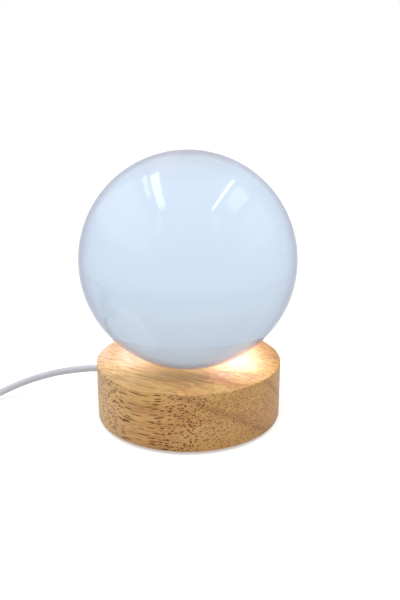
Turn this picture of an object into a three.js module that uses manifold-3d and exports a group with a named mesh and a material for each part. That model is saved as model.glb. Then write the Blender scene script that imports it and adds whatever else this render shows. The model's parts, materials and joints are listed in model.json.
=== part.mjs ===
// Crystal ball lamp: a clear ball resting on a turned wooden base, lit from below by a small
// light module in the base, and fed by a thin USB lead with an in-line rocker switch.
// Millimetres, +Z up. The origin is on the table under the middle of the wooden base.
// The light module is reached from below, behind a screwed cover. The lead leaves the base at
// its left and back, lies on the table, and what is not needed is wound into a neat coil.
import * as THREE from 'three';
import { mergeVertices } from 'three/addons/utils/BufferGeometryUtils.js';
import Module from 'manifold-3d';

const wasm = await Module();
wasm.setup();

// Fits that all pieces share
const clearance = 0.3;
const overrun = 2;
const weldDistance = 1e-4;

// Ball
const ballRadius = 40;
const ballSink = 2;
const seatContactRadius = 11.5;

// Wooden base
const baseRadius = 35;
const baseHeight = 21.5;
const rimRound = 0.8;
const cavityRadius = 21;
const cavityDepth = 14;
const lipOverlap = 0.5;

// Cover under the base, its screws and the feet
const coverLedge = 5;
const coverThickness = 2.4;
const coverScrewCount = 3;
const coverScrewStartDegrees = 60;
const coverScrew = { head: 1.8, headHeight: 1.2, shank: 1, length: 8.2 };
const footHeight = 1;
const footCount = 4;
const footStartDegrees = 45;
const footRadius = 3;
const footSpotDepth = 0.6;
const footEdge = 0.35;

// Light module
const windowRadius = 9.5;
const windowThickness = 1.5;
const windowToBall = 0.6;
const flangeRadius = 14.5;
const flangeThickness = 1.7;
const sleeveWall = 1.4;
const cupFloorThickness = 1.2;
const boardThickness = 1.2;
const ledCount = 6;
const ledFromEdge = 0.85;
const led = { length: 3.5, width: 2.8, height: 0.8 };
const resistor = { length: 2, width: 1.2, height: 0.6 };
const resistorOffset = 1.25;
const holderScrew = { head: 1.8, headHeight: 1.2, shank: 1, length: 7 };

// Lead, its two cores and what holds it in the base
const leadRadius = 1.4;
const coreRadius = 0.6;
const coreHoleOffset = 1.6;
const coreHoleSpare = 0.3;
const coreSpacing = 0.75;
const coreDip = 4;
const exitTurnDegrees = 158.6;
const exitAboveUnderside = 11;
const leadEndFromFlange = 1;
const grommetFlangeRadius = 3.6;
const grommetFlangeThickness = 1;
const grommetBarrelRadius = 2.6;
const grommetBarrelLength = 6;
const knotTieFromLeadEnd = 1.7;
const knotTieWidth = 2.5;
const knotTieThickness = 1;
const knotTieLock = { width: 3.4, height: 2.4 };

// Coil of the lead that is put away, and its tie
const coilOuterRadius = 19.5;
const coilGap = 0.55;
const coilLayers = 4;
const turnsPerLayer = 2.5;
const climbTurns = 0.5;
const coilStepsPerTurn = 24;
const coilSides = 6;
const tieThickness = 0.4;
const tieWidth = 4;
const tieCornerRadius = 1;

// In-line switch
const switchLength = 38;
const switchWidth = 14;
const switchHeight = 11;
const switchCorner = 5;
const switchWall = 1.2;
const switchJointHeight = 5.5;
const bossRadius = 2.5;
const bossInset = { end: 6.5, side: 3.1 };
const switchScrew = { head: 1.6, headHeight: 1, shank: 0.8, length: 7 };
const stubReach = 4;
const rocker = { halfLength: 6, rise: 3.6, dip: 0.9, footHalfLength: 5, drop: 1.6, width: 7.4 };
const rockerTiltDegrees = 8;
const axleBelowTop = 2.5;
const axleRadius = 0.9;
const axleHalfLength = 5.4;
const bearing = { halfLength: 2, drop: 2.8 };
const bridge = { halfLength: 4, width: 2.5, thickness: 0.4 };
const contact = { reach: 7.5, inner: 3.5, width: 3, thickness: 0.4 };

// Plug
const plugBody = { length: 18, width: 16, height: 8, corner: 2.4 };
const plugTaper = { length: 6, small: 2.3, large: 3.4 };
const plugShell = { width: 12, height: 4.5, wall: 0.3, proud: 15, held: 4, corner: 0.4 };
const plugTongueThickness = 1.8;
const plugTongueBack = 0.5;
const plugContact = { width: 1, thickness: 0.3, outer: 3.5, inner: 1 };
const plugContactInset = { outer: 1.2, inner: 2.2, back: 5 };

// Routes of the lead where it is not coiled. From the base it droops to the table and runs to
// the coil, from the coil it comes down to the switch, and from the switch it turns to the plug.
const routeFromBase = [
  [-34.1, 13.4, 12], [-36, 14.1, 12], [-38, 14.8, 11.9], [-41, 15.4, 11.6],
  [-44.3, 15.9, 11.1], [-47.7, 16.4, 10.5], [-51.1, 16.9, 9.8], [-54.5, 17.3, 9],
  [-57.8, 17.5, 8.1], [-61.1, 17.4, 7.2], [-64.4, 17, 6.3], [-67.6, 16.2, 5.4],
  [-70.7, 15, 4.5], [-73.6, 13.4, 3.7], [-76.4, 11.4, 2.9], [-79.1, 8.8, 2.2],
  [-81.5, 5.5, 1.7], [-83.2, 1.7, 1.55], [-84.2, -2.6, 1.65], [-84.5, -7.2, 1.95],
  [-84.5, -11, 2.1],
];
const routeToSwitch = [
  [-84.5, -17.2, 12.15], [-84.5, -20, 12.1], [-84.7, -24, 11.6], [-85.3, -28.5, 10.8],
  [-86.6, -33, 9.7], [-88.7, -37.2, 8.5], [-91.6, -41, 7.3], [-95.2, -44.2, 6.3],
  [-98.6, -46.6, 5.75], [-101.5, -47.9, 5.55], [-103.4, -48.3, 5.5], [-105, -48.4, 5.5],
];
const routeToPlug = [
  [-143.6, -48.4, 5.5], [-145.5, -48.4, 5.5], [-147.9, -48.1, 5.4], [-150.3, -47.4, 5.2],
  [-152.5, -46.2, 5], [-154.4, -44.6, 4.8], [-156, -42.6, 4.5], [-157, -40.3, 4.3],
  [-157.5, -37.8, 4.1], [-157.5, -35.6, 4], [-157.5, -33.6, 4],
];
const leadSides = 8;
const diametersPerStep = 2;

// Places worked out from the sizes above
const leadDiameter = 2 * leadRadius;
const underside = footHeight;
const woodTop = underside + baseHeight;
const ballCentre = woodTop - ballSink + ballRadius;
const ballBottom = ballCentre - ballRadius;
const ballDrop = Math.sqrt(ballRadius ** 2 - seatContactRadius ** 2);
const seatSlope = seatContactRadius / ballDrop;
const seatContactHeight = ballCentre - ballDrop - clearance;
const seatRimRadius = seatContactRadius + (woodTop - seatContactHeight) / seatSlope;
const lipRadius = windowRadius - lipOverlap;
const lipTop = seatContactHeight - (seatContactRadius - lipRadius) * seatSlope;
const windowTop = ballBottom - windowToBall;
const windowBottom = windowTop - windowThickness;
const lipUnderside = windowTop + clearance;
const wellRadius = windowRadius + clearance;
const cavityCeiling = underside + cavityDepth;
const flangeTop = cavityCeiling - clearance;
const flangeBottom = flangeTop - flangeThickness;
const cupFloorTop = flangeBottom + cupFloorThickness;
const sleeveTop = windowBottom - clearance;
const cupRadius = windowRadius - sleeveWall;
const boardRadius = cupRadius - clearance;
const ledCircle = boardRadius - ledFromEdge - led.length / 2;
const holderScrewCircle = (flangeRadius + windowRadius) / 2;
const boardBottom = cupFloorTop + clearance;
const boardTop = boardBottom + boardThickness;
const coverRadius = cavityRadius + coverLedge;
const coverScrewCircle = (cavityRadius + coverRadius) / 2;
const rebateRadius = coverRadius + clearance;
const footCircle = (rebateRadius + baseRadius) / 2;
const rebateCeiling = underside + coverThickness + clearance;
const exitHeight = underside + exitAboveUnderside;
const innerLeadEnd = flangeRadius + leadEndFromFlange;
const grommetFace = baseRadius + clearance + grommetFlangeThickness;
const exitTurn = THREE.MathUtils.degToRad(exitTurnDegrees);
const coilPitch = leadDiameter + coilGap;
const coilTurns = coilLayers * turnsPerLayer;
const coilInnerRadius = coilOuterRadius - turnsPerLayer * coilPitch;
const coilLowest = tieThickness + clearance + leadRadius;
const rockerTilt = THREE.MathUtils.degToRad(rockerTiltDegrees);
const axleHeight = switchHeight - axleBelowTop;
const rockerReach = rocker.halfLength * Math.cos(rockerTilt) + rocker.rise * Math.sin(rockerTilt);
const windowHalfLength = rockerReach + clearance;
const bridgeBottom = rocker.drop + clearance + bridge.thickness;
const bridgeDip = bridgeBottom * Math.cos(rockerTilt) + bridge.halfLength * Math.sin(rockerTilt);
const contactTop = axleHeight - bridgeDip - clearance;
const contactMiddle = (contact.inner + contact.reach) / 2;

// Finishes
const finishes = {
  crystal: finish(0xdfe9f7, 0.02, 0),
  wood: finish(0xd2a56d, 0.55, 0),
  clearPlastic: finish(0xf2f4f6, 0.25, 0),
  whitePlastic: finish(0xf3f2ee, 0.45, 0),
  board: finish(0xf4f4f0, 0.5, 0),
  led: finish(0xffe9b0, 0.4, 0),
  chip: finish(0x1d1d1f, 0.5, 0),
  red: finish(0xc22a26, 0.5, 0),
  black: finish(0x1c1c1e, 0.5, 0),
  steel: finish(0xb9bcc0, 0.35, 1),
  brass: finish(0xc9a455, 0.3, 1),
  rubber: finish(0x2b2b2d, 0.8, 0),
  coverPlastic: finish(0x262628, 0.6, 0),
  lead: finish(0xe9e7ea, 0.5, 0),
};

function finish(color, roughness, metalness) {
  return new THREE.MeshStandardMaterial({ color, roughness, metalness });
}

// Solid modelling helpers: closed meshes go to the solid library, are cut or joined, come back
function solidOf(geometry) {
  const bare = geometry.clone();
  bare.deleteAttribute('normal');
  bare.deleteAttribute('uv');
  const merged = mergeVertices(bare, weldDistance);
  return new wasm.Manifold(new wasm.Mesh({
    numProp: 3,
    vertProperties: new Float32Array(merged.attributes.position.array),
    triVerts: new Uint32Array(merged.index.array),
  }));
}

function geometryOf(solid) {
  const mesh = solid.getMesh();
  const geometry = new THREE.BufferGeometry();
  geometry.setAttribute('position', new THREE.BufferAttribute(mesh.vertProperties, 3));
  geometry.setIndex(new THREE.BufferAttribute(mesh.triVerts, 1));
  geometry.computeVertexNormals();
  return geometry;
}

function cut(geometry, cutters) {
  const whole = cutters.reduce((rest, cutter) => rest.subtract(solidOf(cutter)), solidOf(geometry));
  return geometryOf(whole);
}

function join(geometries) {
  const solids = geometries.map(solidOf);
  return geometryOf(solids.reduce((whole, solid) => whole.add(solid)));
}

function add(parent, name, geometry, material) {
  const mesh = new THREE.Mesh(geometry, material.clone());
  mesh.name = name;
  parent.add(mesh);
  return mesh;
}

// A turned shape about +Z from radius and height pairs, listed so that the solid is on the left
function turned(profile, segments) {
  const points = profile.map(([radius, height]) => new THREE.Vector2(radius, height));
  return new THREE.LatheGeometry(points, segments).rotateX(Math.PI / 2);
}

function arcPoints(centreRadius, centreHeight, radius, fromDegrees, toDegrees, steps) {
  return Array.from({ length: steps + 1 }, (_, i) => {
    const angle = THREE.MathUtils.degToRad(fromDegrees + (toDegrees - fromDegrees) * i / steps);
    return [centreRadius + radius * Math.cos(angle), centreHeight + radius * Math.sin(angle)];
  });
}

// A round bar that stands on the XY plane
function bar(radius, length, sides) {
  return new THREE.CylinderGeometry(radius, radius, length, sides)
    .rotateX(Math.PI / 2)
    .translate(0, 0, length / 2);
}

// A box from its lowest corner's height, centred on the Z axis
function block(length, width, height) {
  return new THREE.BoxGeometry(length, width, height).translate(0, 0, height / 2);
}

function roundedOutline(length, width, radius) {
  const x = length / 2 - radius;
  const y = width / 2 - radius;
  const outline = new THREE.Shape();
  outline.absarc(x, y, radius, 0, Math.PI / 2);
  outline.absarc(-x, y, radius, Math.PI / 2, Math.PI);
  outline.absarc(-x, -y, radius, Math.PI, 1.5 * Math.PI);
  outline.absarc(x, -y, radius, 1.5 * Math.PI, 2 * Math.PI);
  outline.closePath();
  return outline;
}

function slab(outline, height, curveSegments = 4) {
  return new THREE.ExtrudeGeometry(outline, { depth: height, bevelEnabled: false, curveSegments });
}

function roundSection(radius, sides) {
  const corners = Array.from({ length: sides }, (_, i) => {
    const angle = 2 * Math.PI * i / sides;
    return new THREE.Vector2(radius * Math.cos(angle), radius * Math.sin(angle));
  });
  return new THREE.Shape(corners);
}

function tube(path, radius, sides, steps) {
  const options = { steps, bevelEnabled: false, extrudePath: path };
  return new THREE.ExtrudeGeometry(roundSection(radius, sides), options);
}

function curveThrough(points) {
  const knots = points.map((point) => new THREE.Vector3(...point));
  return new THREE.CatmullRomCurve3(knots, false, 'centripetal');
}

// A screw that points up: head, shank with a pointed end, and a cross in the head's underside
function screw({ head, headHeight, shank, length }) {
  const body = turned([
    [0, 0],
    [head, 0],
    [head, headHeight],
    [shank, headHeight],
    [shank, length - shank],
    [0, length],
  ], 16);
  const slotShares = { length: 1.3, width: 0.34, depth: 0.55 };
  const long = head * slotShares.length;
  const wide = head * slotShares.width;
  const deep = headHeight * slotShares.depth;
  const slots = [block(long, wide, deep + overrun), block(wide, long, deep + overrun)];
  return cut(body, slots.map((slot) => slot.translate(0, 0, -overrun)));
}

function onCircle(radius, index, count, startDegrees = 0) {
  const angle = THREE.MathUtils.degToRad(startDegrees) + 2 * Math.PI * index / count;
  return [radius * Math.cos(angle), radius * Math.sin(angle)];
}

const lamp = new THREE.Group();

// What lies in the base is lined up with the lead's exit, along this group's +X
const inside = new THREE.Group();
inside.rotation.z = exitTurn;
lamp.add(inside);

const coverScrewPlaces = Array.from(
  { length: coverScrewCount },
  (_, i) => onCircle(coverScrewCircle, i, coverScrewCount, coverScrewStartDegrees),
);
const holderScrewPlaces = [-1, 1].map((side) => [0, side * holderScrewCircle]);
const footPlaces = Array.from(
  { length: footCount },
  (_, i) => onCircle(footCircle, i, footCount, footStartDegrees),
);

// Crystal ball
function makeBall() {
  const ball = new THREE.SphereGeometry(ballRadius, 48, 32).rotateX(Math.PI / 2);
  add(lamp, 'crystal_ball', ball, finishes.crystal).position.z = ballCentre;
}

// Wooden base: turned outside, a conical seat for the ball, a well for the light, a cavity below
function baseProfile() {
  const rimCentre = baseRadius - rimRound;
  return [
    [lipRadius, lipUnderside],
    [wellRadius, lipUnderside],
    [wellRadius, cavityCeiling],
    [cavityRadius, cavityCeiling],
    [cavityRadius, rebateCeiling],
    [rebateRadius, rebateCeiling],
    [rebateRadius, underside],
    ...arcPoints(rimCentre, underside + rimRound, rimRound, -90, 0, 3),
    ...arcPoints(rimCentre, woodTop - rimRound, rimRound, 0, 90, 3),
    [seatRimRadius, woodTop],
    [lipRadius, lipTop],
    [lipRadius, lipUnderside],
  ];
}

// Holes in the base, in the frame of the lead's exit
function exitHoles() {
  const channel = bar(leadRadius + clearance, baseRadius, 16);
  const pocketDepth = grommetBarrelLength + clearance;
  const pocket = bar(grommetBarrelRadius + clearance, pocketDepth + overrun, 16);
  const channelStart = (innerLeadEnd + cavityRadius) / 2;
  const pocketStart = grommetFace - grommetFlangeThickness - pocketDepth;
  return [
    channel.rotateY(Math.PI / 2).translate(channelStart, 0, exitHeight),
    pocket.rotateY(Math.PI / 2).translate(pocketStart, 0, exitHeight),
  ];
}

function pilotHoles() {
  const coverPilot = bar(coverScrew.shank + clearance, coverScrew.length + overrun, 12);
  const holderPilot = bar(holderScrew.shank + clearance, holderScrew.length, 12);
  const coverPilotStart = underside + clearance - overrun;
  const holderPilotStart = flangeBottom - holderScrew.headHeight;
  return [
    ...coverScrewPlaces.map(([x, y]) => coverPilot.clone().translate(x, y, coverPilotStart)),
    ...holderScrewPlaces.map(([x, y]) => holderPilot.clone().translate(x, y, holderPilotStart)),
  ];
}

function makeBase() {
  const spot = bar(footRadius + clearance, footSpotDepth + overrun, 20);
  const spots = footPlaces.map(([x, y]) => spot.clone().translate(x, y, underside - overrun));
  const turnedHoles = [...exitHoles(), ...pilotHoles()].map((hole) => hole.rotateZ(exitTurn));
  const wood = cut(turned(baseProfile(), 64), [...spots, ...turnedHoles]);
  add(lamp, 'wooden_base', wood, finishes.wood);
}

// Rubber feet in shallow drilled spots
function makeFeet() {
  const height = footHeight + footSpotDepth - clearance;
  const foot = turned([
    [0, 0],
    [footRadius - footEdge, 0],
    [footRadius, footEdge],
    [footRadius, height],
    [0, height],
  ], 20);
  footPlaces.forEach(([x, y], i) => {
    add(lamp, `foot_pad_${i + 1}`, foot.clone(), finishes.rubber).position.set(x, y, 0);
  });
}

// Light module: window, cup with its flange, board, lights, resistors and screws
function makeWindow() {
  const disc = bar(windowRadius, windowThickness, 48);
  add(inside, 'light_window', disc, finishes.clearPlastic).position.z = windowBottom;
}

function makeHolder() {
  const cup = turned([
    [0, flangeBottom],
    [flangeRadius, flangeBottom],
    [flangeRadius, flangeTop],
    [windowRadius, flangeTop],
    [windowRadius, sleeveTop],
    [cupRadius, sleeveTop],
    [cupRadius, cupFloorTop],
    [0, cupFloorTop],
  ], 48);
  const depth = flangeThickness + 2 * overrun;
  const coreHole = bar(coreRadius + coreHoleSpare, depth, 12);
  const screwHole = bar(holderScrew.shank + clearance, depth, 12);
  const start = flangeBottom - overrun;
  const cutters = [-1, 1].map((side) => coreHole.clone().translate(0, side * coreHoleOffset, start));
  holderScrewPlaces.forEach(([x, y]) => cutters.push(screwHole.clone().translate(x, y, start)));
  add(inside, 'light_holder', cut(cup, cutters), finishes.whitePlastic);
}

function makeBoard() {
  const disc = bar(boardRadius, boardThickness, 40);
  add(inside, 'led_board', disc, finishes.board).position.z = boardBottom;
  for (let i = 0; i < ledCount; i += 1) {
    const light = block(led.length, led.width, led.height);
    const mesh = add(inside, `led_${i + 1}`, light, finishes.led);
    const [x, y] = onCircle(ledCircle, i, ledCount);
    mesh.position.set(x, y, boardTop + clearance);
    mesh.rotation.z = 2 * Math.PI * i / ledCount;
  }
  [-1, 1].forEach((side, i) => {
    const chip = block(resistor.width, resistor.length, resistor.height);
    const mesh = add(inside, `resistor_${i + 1}`, chip, finishes.chip);
    mesh.position.set(side * resistorOffset, 0, boardTop + clearance);
  });
}

function makeHolderScrews() {
  const height = flangeBottom - clearance - holderScrew.headHeight;
  holderScrewPlaces.forEach(([x, y], i) => {
    const mesh = add(inside, `holder_screw_${i + 1}`, screw(holderScrew), finishes.steel);
    mesh.position.set(x, y, height);
  });
}

// The lead inside the base: jacket, its tie, the two cores up to the board, and the grommet
function makeInnerLead() {
  const jacket = bar(leadRadius, grommetFace - innerLeadEnd, leadSides * 2).rotateY(Math.PI / 2);
  add(inside, 'lead_in_base', jacket, finishes.lead).position.set(innerLeadEnd, 0, exitHeight);
  const ringOuter = leadRadius + clearance + knotTieThickness;
  const ring = bar(ringOuter, knotTieWidth, 20);
  const lockDrop = ringOuter + knotTieLock.height;
  const lock = block(lockDrop, knotTieLock.width, knotTieWidth).translate(lockDrop / 2, 0, 0);
  const bore = bar(leadRadius + clearance, knotTieWidth + 2 * overrun, 16);
  const tie = cut(join([ring, lock]), [bore.translate(0, 0, -overrun)]).rotateY(Math.PI / 2);
  add(inside, 'lead_tie_in_base', tie, finishes.whitePlastic)
    .position.set(innerLeadEnd + knotTieFromLeadEnd, 0, exitHeight);
}

function makeCores() {
  const top = boardBottom - clearance;
  const bottom = exitHeight - coreDip;
  const end = innerLeadEnd - clearance;
  const runShares = { bend: 0.08, first: 0.26, second: 0.6, rise: 0.86 };
  ['red', 'black'].forEach((colour, i) => {
    const side = i ? -1 : 1;
    const start = side * coreHoleOffset;
    const finishY = side * coreSpacing;
    const path = curveThrough([
      [0, start, top],
      [0, start, flangeBottom],
      [end * runShares.bend, start, (flangeBottom + bottom) / 2],
      [end * runShares.first, start, bottom],
      [end * runShares.second, finishY, bottom],
      [end * runShares.rise, finishY, exitHeight - coreRadius],
      [end, finishY, exitHeight],
    ]);
    add(inside, `core_wire_${colour}`, tube(path, coreRadius, coilSides, 16), finishes[colour]);
  });
}

function makeGrommet() {
  const start = grommetFace - grommetFlangeThickness - grommetBarrelLength;
  const total = grommetBarrelLength + grommetFlangeThickness;
  const bore = leadRadius + clearance;
  const ring = turned([
    [bore, 0],
    [grommetBarrelRadius, 0],
    [grommetBarrelRadius, grommetBarrelLength],
    [grommetFlangeRadius, grommetBarrelLength],
    [grommetFlangeRadius, total],
    [bore, total],
    [bore, 0],
  ], 20).rotateY(Math.PI / 2);
  add(inside, 'lead_grommet', ring, finishes.whitePlastic).position.set(start, 0, exitHeight);
}

// Cover under the base, with screws in round pockets
function makeCover() {
  const pocketDepth = coverScrew.headHeight + clearance;
  const pocket = bar(coverScrew.head + clearance, pocketDepth + overrun, 16);
  const hole = bar(coverScrew.shank + clearance, coverThickness + 2 * overrun, 12);
  const cutters = coverScrewPlaces.flatMap(([x, y]) => [
    pocket.clone().translate(x, y, -overrun),
    hole.clone().translate(x, y, -overrun),
  ]);
  const disc = cut(bar(coverRadius, coverThickness, 64), cutters);
  add(inside, 'bottom_cover', disc, finishes.coverPlastic).position.z = underside;
  coverScrewPlaces.forEach(([x, y], i) => {
    const mesh = add(inside, `cover_screw_${i + 1}`, screw(coverScrew), finishes.steel);
    mesh.position.set(x, y, underside);
  });
}

// Free stretches of the lead
function makeStretch(name, points) {
  const path = curveThrough(points);
  const steps = Math.round(path.getLength() / (diametersPerStep * leadDiameter));
  add(lamp, name, tube(path, leadRadius, leadSides, steps), finishes.lead);
}

// Coil: layers that spiral in and out, each climb in the half turn where the spiral reverses
class CoilPath extends THREE.Curve {
  constructor(start) {
    super();
    this.centre = new THREE.Vector2(start[0] - coilOuterRadius, start[1] - leadDiameter - clearance);
    this.endTurns = 1 / coilStepsPerTurn;
  }

  getPoint(t, target = new THREE.Vector3()) {
    const wound = coilTurns + 2 * this.endTurns;
    const turn = t * wound - this.endTurns;
    const along = Math.min(Math.max(turn, 0), coilTurns);
    const layer = along / turnsPerLayer;
    const inward = 1 - Math.abs(1 - (layer % 2));
    const radius = coilOuterRadius - inward * turnsPerLayer * coilPitch;
    let height = coilLowest;
    for (let k = 1; k < coilLayers; k += 1) {
      const climb = (along - k * turnsPerLayer) / climbTurns + 1 / 2;
      height += coilPitch * THREE.MathUtils.smoothstep(climb, 0, 1);
    }
    const angle = -2 * Math.PI * along;
    const straight = (turn - along) / this.endTurns * leadDiameter;
    const x = this.centre.x + radius * Math.cos(angle);
    const y = this.centre.y + radius * Math.sin(angle) - straight;
    return target.set(x, y, height);
  }

  getPointAt(t, target) {
    return this.getPoint(t, target);
  }

  getTangentAt(t, target) {
    return this.getTangent(t, target);
  }
}

// The least gap of the coil to itself, measured on points along its middle line
function leastCoilGap(path) {
  const perTurn = 2 * coilStepsPerTurn;
  const points = path.getPoints(Math.round(coilTurns * perTurn));
  let least = Infinity;
  for (let i = 0; i < points.length; i += 1) {
    for (let j = i + perTurn / 2; j < points.length; j += 1) {
      least = Math.min(least, points[i].distanceTo(points[j]));
    }
  }
  return least - leadDiameter;
}

function makeCoil() {
  const path = new CoilPath(routeFromBase[routeFromBase.length - 1]);
  const steps = coilTurns * coilStepsPerTurn + 2;
  add(lamp, 'lead_coil', tube(path, leadRadius, coilSides, steps), finishes.lead);
  console.log(`least gap between the coil's turns: ${leastCoilGap(path).toFixed(2)} mm`);
  return path.centre;
}

// Band round the coil's bundle, on the side away from the lamp
function makeCoilTie(centre) {
  const spare = leadRadius + clearance;
  const inner = {
    length: coilOuterRadius - coilInnerRadius + 2 * spare,
    height: (coilLayers - 1) * coilPitch + 2 * spare,
  };
  const band = roundedOutline(
    inner.length + 2 * tieThickness,
    inner.height + 2 * tieThickness,
    tieCornerRadius + tieThickness,
  );
  band.holes.push(roundedOutline(inner.length, inner.height, tieCornerRadius));
  const ring = slab(band, tieWidth).rotateX(Math.PI / 2).translate(0, tieWidth / 2, 0);
  const place = centre.x - (coilOuterRadius + coilInnerRadius) / 2;
  add(lamp, 'coil_tie', ring, finishes.lead)
    .position.set(place, centre.y, inner.height / 2 + tieThickness);
}

// In-line switch, along its own X
const switchGroup = new THREE.Group();
const switchEntry = routeToSwitch[routeToSwitch.length - 1];
switchGroup.position.set(switchEntry[0] - clearance - switchLength / 2, switchEntry[1], 0);
lamp.add(switchGroup);
const bossPlaces = [-1, 1].map((side) => [
  side * (switchLength / 2 - bossInset.end),
  switchWidth / 2 - bossInset.side,
]);
const lowerTop = switchJointHeight - clearance / 2;
const upperBottom = switchJointHeight + clearance / 2;

function leadHoles() {
  const hole = bar(leadRadius + clearance, switchLength + 2 * overrun, 16).rotateY(Math.PI / 2);
  return hole.translate(-switchLength / 2 - overrun, 0, switchJointHeight);
}

function shellCavity(height) {
  const inset = 2 * switchWall;
  const corner = switchCorner - switchWall;
  return slab(roundedOutline(switchLength - inset, switchWidth - inset, corner), height);
}

function makeLowerShell() {
  const outside = slab(roundedOutline(switchLength, switchWidth, switchCorner), lowerTop);
  const open = cut(outside, [
    shellCavity(lowerTop).translate(0, 0, switchWall),
    leadHoles(),
  ]);
  const posts = bossPlaces.map(([x, y]) => bar(bossRadius, lowerTop, 16).translate(x, y, 0));
  const pocketDepth = switchScrew.headHeight + clearance;
  const holes = bossPlaces.flatMap(([x, y]) => [
    bar(switchScrew.head + clearance, pocketDepth + overrun, 16).translate(x, y, -overrun),
    bar(switchScrew.shank + clearance, lowerTop + 2 * overrun, 12).translate(x, y, -overrun),
  ]);
  const shell = cut(join([open, ...posts]), holes);
  add(switchGroup, 'switch_lower_shell', shell, finishes.whitePlastic);
}

function makeUpperShell() {
  const height = switchHeight - upperBottom;
  const outside = slab(roundedOutline(switchLength, switchWidth, switchCorner), height)
    .translate(0, 0, upperBottom);
  const plateBottom = switchHeight - switchWall;
  const rockerWindow = block(2 * windowHalfLength, rocker.width + 2 * clearance, switchHeight);
  const open = cut(outside, [
    shellCavity(height).translate(0, 0, upperBottom - switchWall),
    rockerWindow,
    leadHoles(),
  ]);
  const bossLength = plateBottom - upperBottom + switchWall / 2;
  const posts = bossPlaces.map(
    ([x, y]) => bar(bossRadius, bossLength, 16).translate(x, y, upperBottom),
  );
  const earInner = rocker.width / 2 + clearance;
  const earThickness = switchWidth / 2 - switchWall / 2 - earInner;
  const earHeight = bearing.drop + switchWall / 2;
  const ears = [-1, 1].map((side) => block(2 * bearing.halfLength, earThickness, earHeight)
    .translate(0, side * (earInner + earThickness / 2), plateBottom - bearing.drop));
  const boreLength = 2 * (axleHalfLength + clearance);
  const bore = bar(axleRadius + clearance, boreLength, 16)
    .rotateX(Math.PI / 2)
    .translate(0, boreLength / 2, axleHeight);
  const pilot = bar(switchScrew.shank + clearance, switchScrew.length, 12);
  const pilots = bossPlaces.map(([x, y]) => pilot.clone().translate(x, y, switchScrew.headHeight));
  const shell = cut(join([open, ...posts, ...ears]), [bore, ...pilots]);
  add(switchGroup, 'switch_upper_shell', shell, finishes.whitePlastic);
}

// The rocker is stored tipped to its lit side, and tips over to the other by twice the tilt
function makeRocker() {
  const outline = new THREE.Shape([
    new THREE.Vector2(-rocker.footHalfLength, -rocker.drop),
    new THREE.Vector2(rocker.footHalfLength, -rocker.drop),
    new THREE.Vector2(rocker.halfLength, rocker.rise),
    new THREE.Vector2(0, rocker.rise - rocker.dip),
    new THREE.Vector2(-rocker.halfLength, rocker.rise),
  ]);
  const body = slab(outline, rocker.width).translate(0, 0, -rocker.width / 2);
  const axle = bar(axleRadius, 2 * axleHalfLength, 16).translate(0, 0, -axleHalfLength);
  const tilted = new THREE.Group();
  tilted.position.z = axleHeight;
  tilted.rotation.y = rockerTilt;
  switchGroup.add(tilted);
  add(tilted, 'switch_rocker', join([body, axle]).rotateX(Math.PI / 2), finishes.whitePlastic);
  const strip = block(2 * bridge.halfLength, bridge.width, bridge.thickness);
  add(tilted, 'switch_bridge_strip', strip, finishes.brass).position.z = -bridgeBottom;
}

// Contacts are bent strips on the lower shell's floor
function makeContacts() {
  const floor = switchWall + clearance;
  const { reach, inner, thickness } = contact;
  [-1, 1].forEach((side, i) => {
    const outline = new THREE.Shape([
      new THREE.Vector2(inner, floor),
      new THREE.Vector2(reach, floor),
      new THREE.Vector2(reach, floor + thickness),
      new THREE.Vector2(inner + thickness, floor + thickness),
      new THREE.Vector2(inner + thickness, contactTop),
      new THREE.Vector2(inner, contactTop),
    ]);
    const strip = slab(outline, contact.width)
      .rotateX(Math.PI / 2)
      .translate(0, contact.width / 2, 0)
      .rotateZ(side > 0 ? 0 : Math.PI);
    add(switchGroup, `switch_contact_${i + 1}`, strip, finishes.brass);
  });
}

// Short ends of the jacket in the switch, the broken core to the contacts, the other past them
function makeSwitchWiring() {
  const stubStart = switchLength / 2 - stubReach;
  [-1, 1].forEach((side, i) => {
    const stub = bar(leadRadius, stubReach, leadSides * 2).rotateY(Math.PI / 2);
    const x = side > 0 ? stubStart : -switchLength / 2;
    add(switchGroup, `switch_lead_end_${i + 1}`, stub, finishes.lead)
      .position.set(x, 0, switchJointHeight);
  });
  const start = stubStart - clearance;
  const reachEnd = contact.reach - contact.thickness;
  const landing = switchWall + 2 * clearance + contact.thickness + coreRadius;
  const half = (start + reachEnd) / 2;
  [-1, 1].forEach((side, i) => {
    const path = curveThrough([
      [side * start, coreSpacing, switchJointHeight],
      [side * (start - coreRadius), coreSpacing, switchJointHeight],
      [side * half, coreSpacing / 2, (switchJointHeight + landing) / 2],
      [side * (reachEnd + coreRadius), 0, landing],
      [side * (contactMiddle + coreRadius), 0, landing],
    ]);
    add(switchGroup, `switch_wire_red_${i + 1}`, tube(path, coreRadius, coilSides, 10), finishes.red);
  });
  const wallSide = -(switchWidth / 2 - switchWall - clearance - coreRadius);
  const low = switchWall + clearance + coreRadius;
  const turnShares = { first: 0.78, second: 0.5 };
  const run = [
    [start, -coreSpacing, switchJointHeight],
    [start - coreRadius, -coreSpacing, switchJointHeight],
    [start * turnShares.first, wallSide / 2, (switchJointHeight + low) / 2],
    [start * turnShares.second, wallSide, low],
  ];
  const mirrored = run.map(([x, y, z]) => [-x, y, z]).reverse();
  const path = curveThrough([...run, [0, wallSide, low], ...mirrored]);
  add(switchGroup, 'switch_wire_black', tube(path, coreRadius, coilSides, 24), finishes.black);
}

function makeSwitchScrews() {
  bossPlaces.forEach(([x, y], i) => {
    const mesh = add(switchGroup, `switch_screw_${i + 1}`, screw(switchScrew), finishes.steel);
    mesh.position.set(x, y, 0);
  });
}

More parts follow.
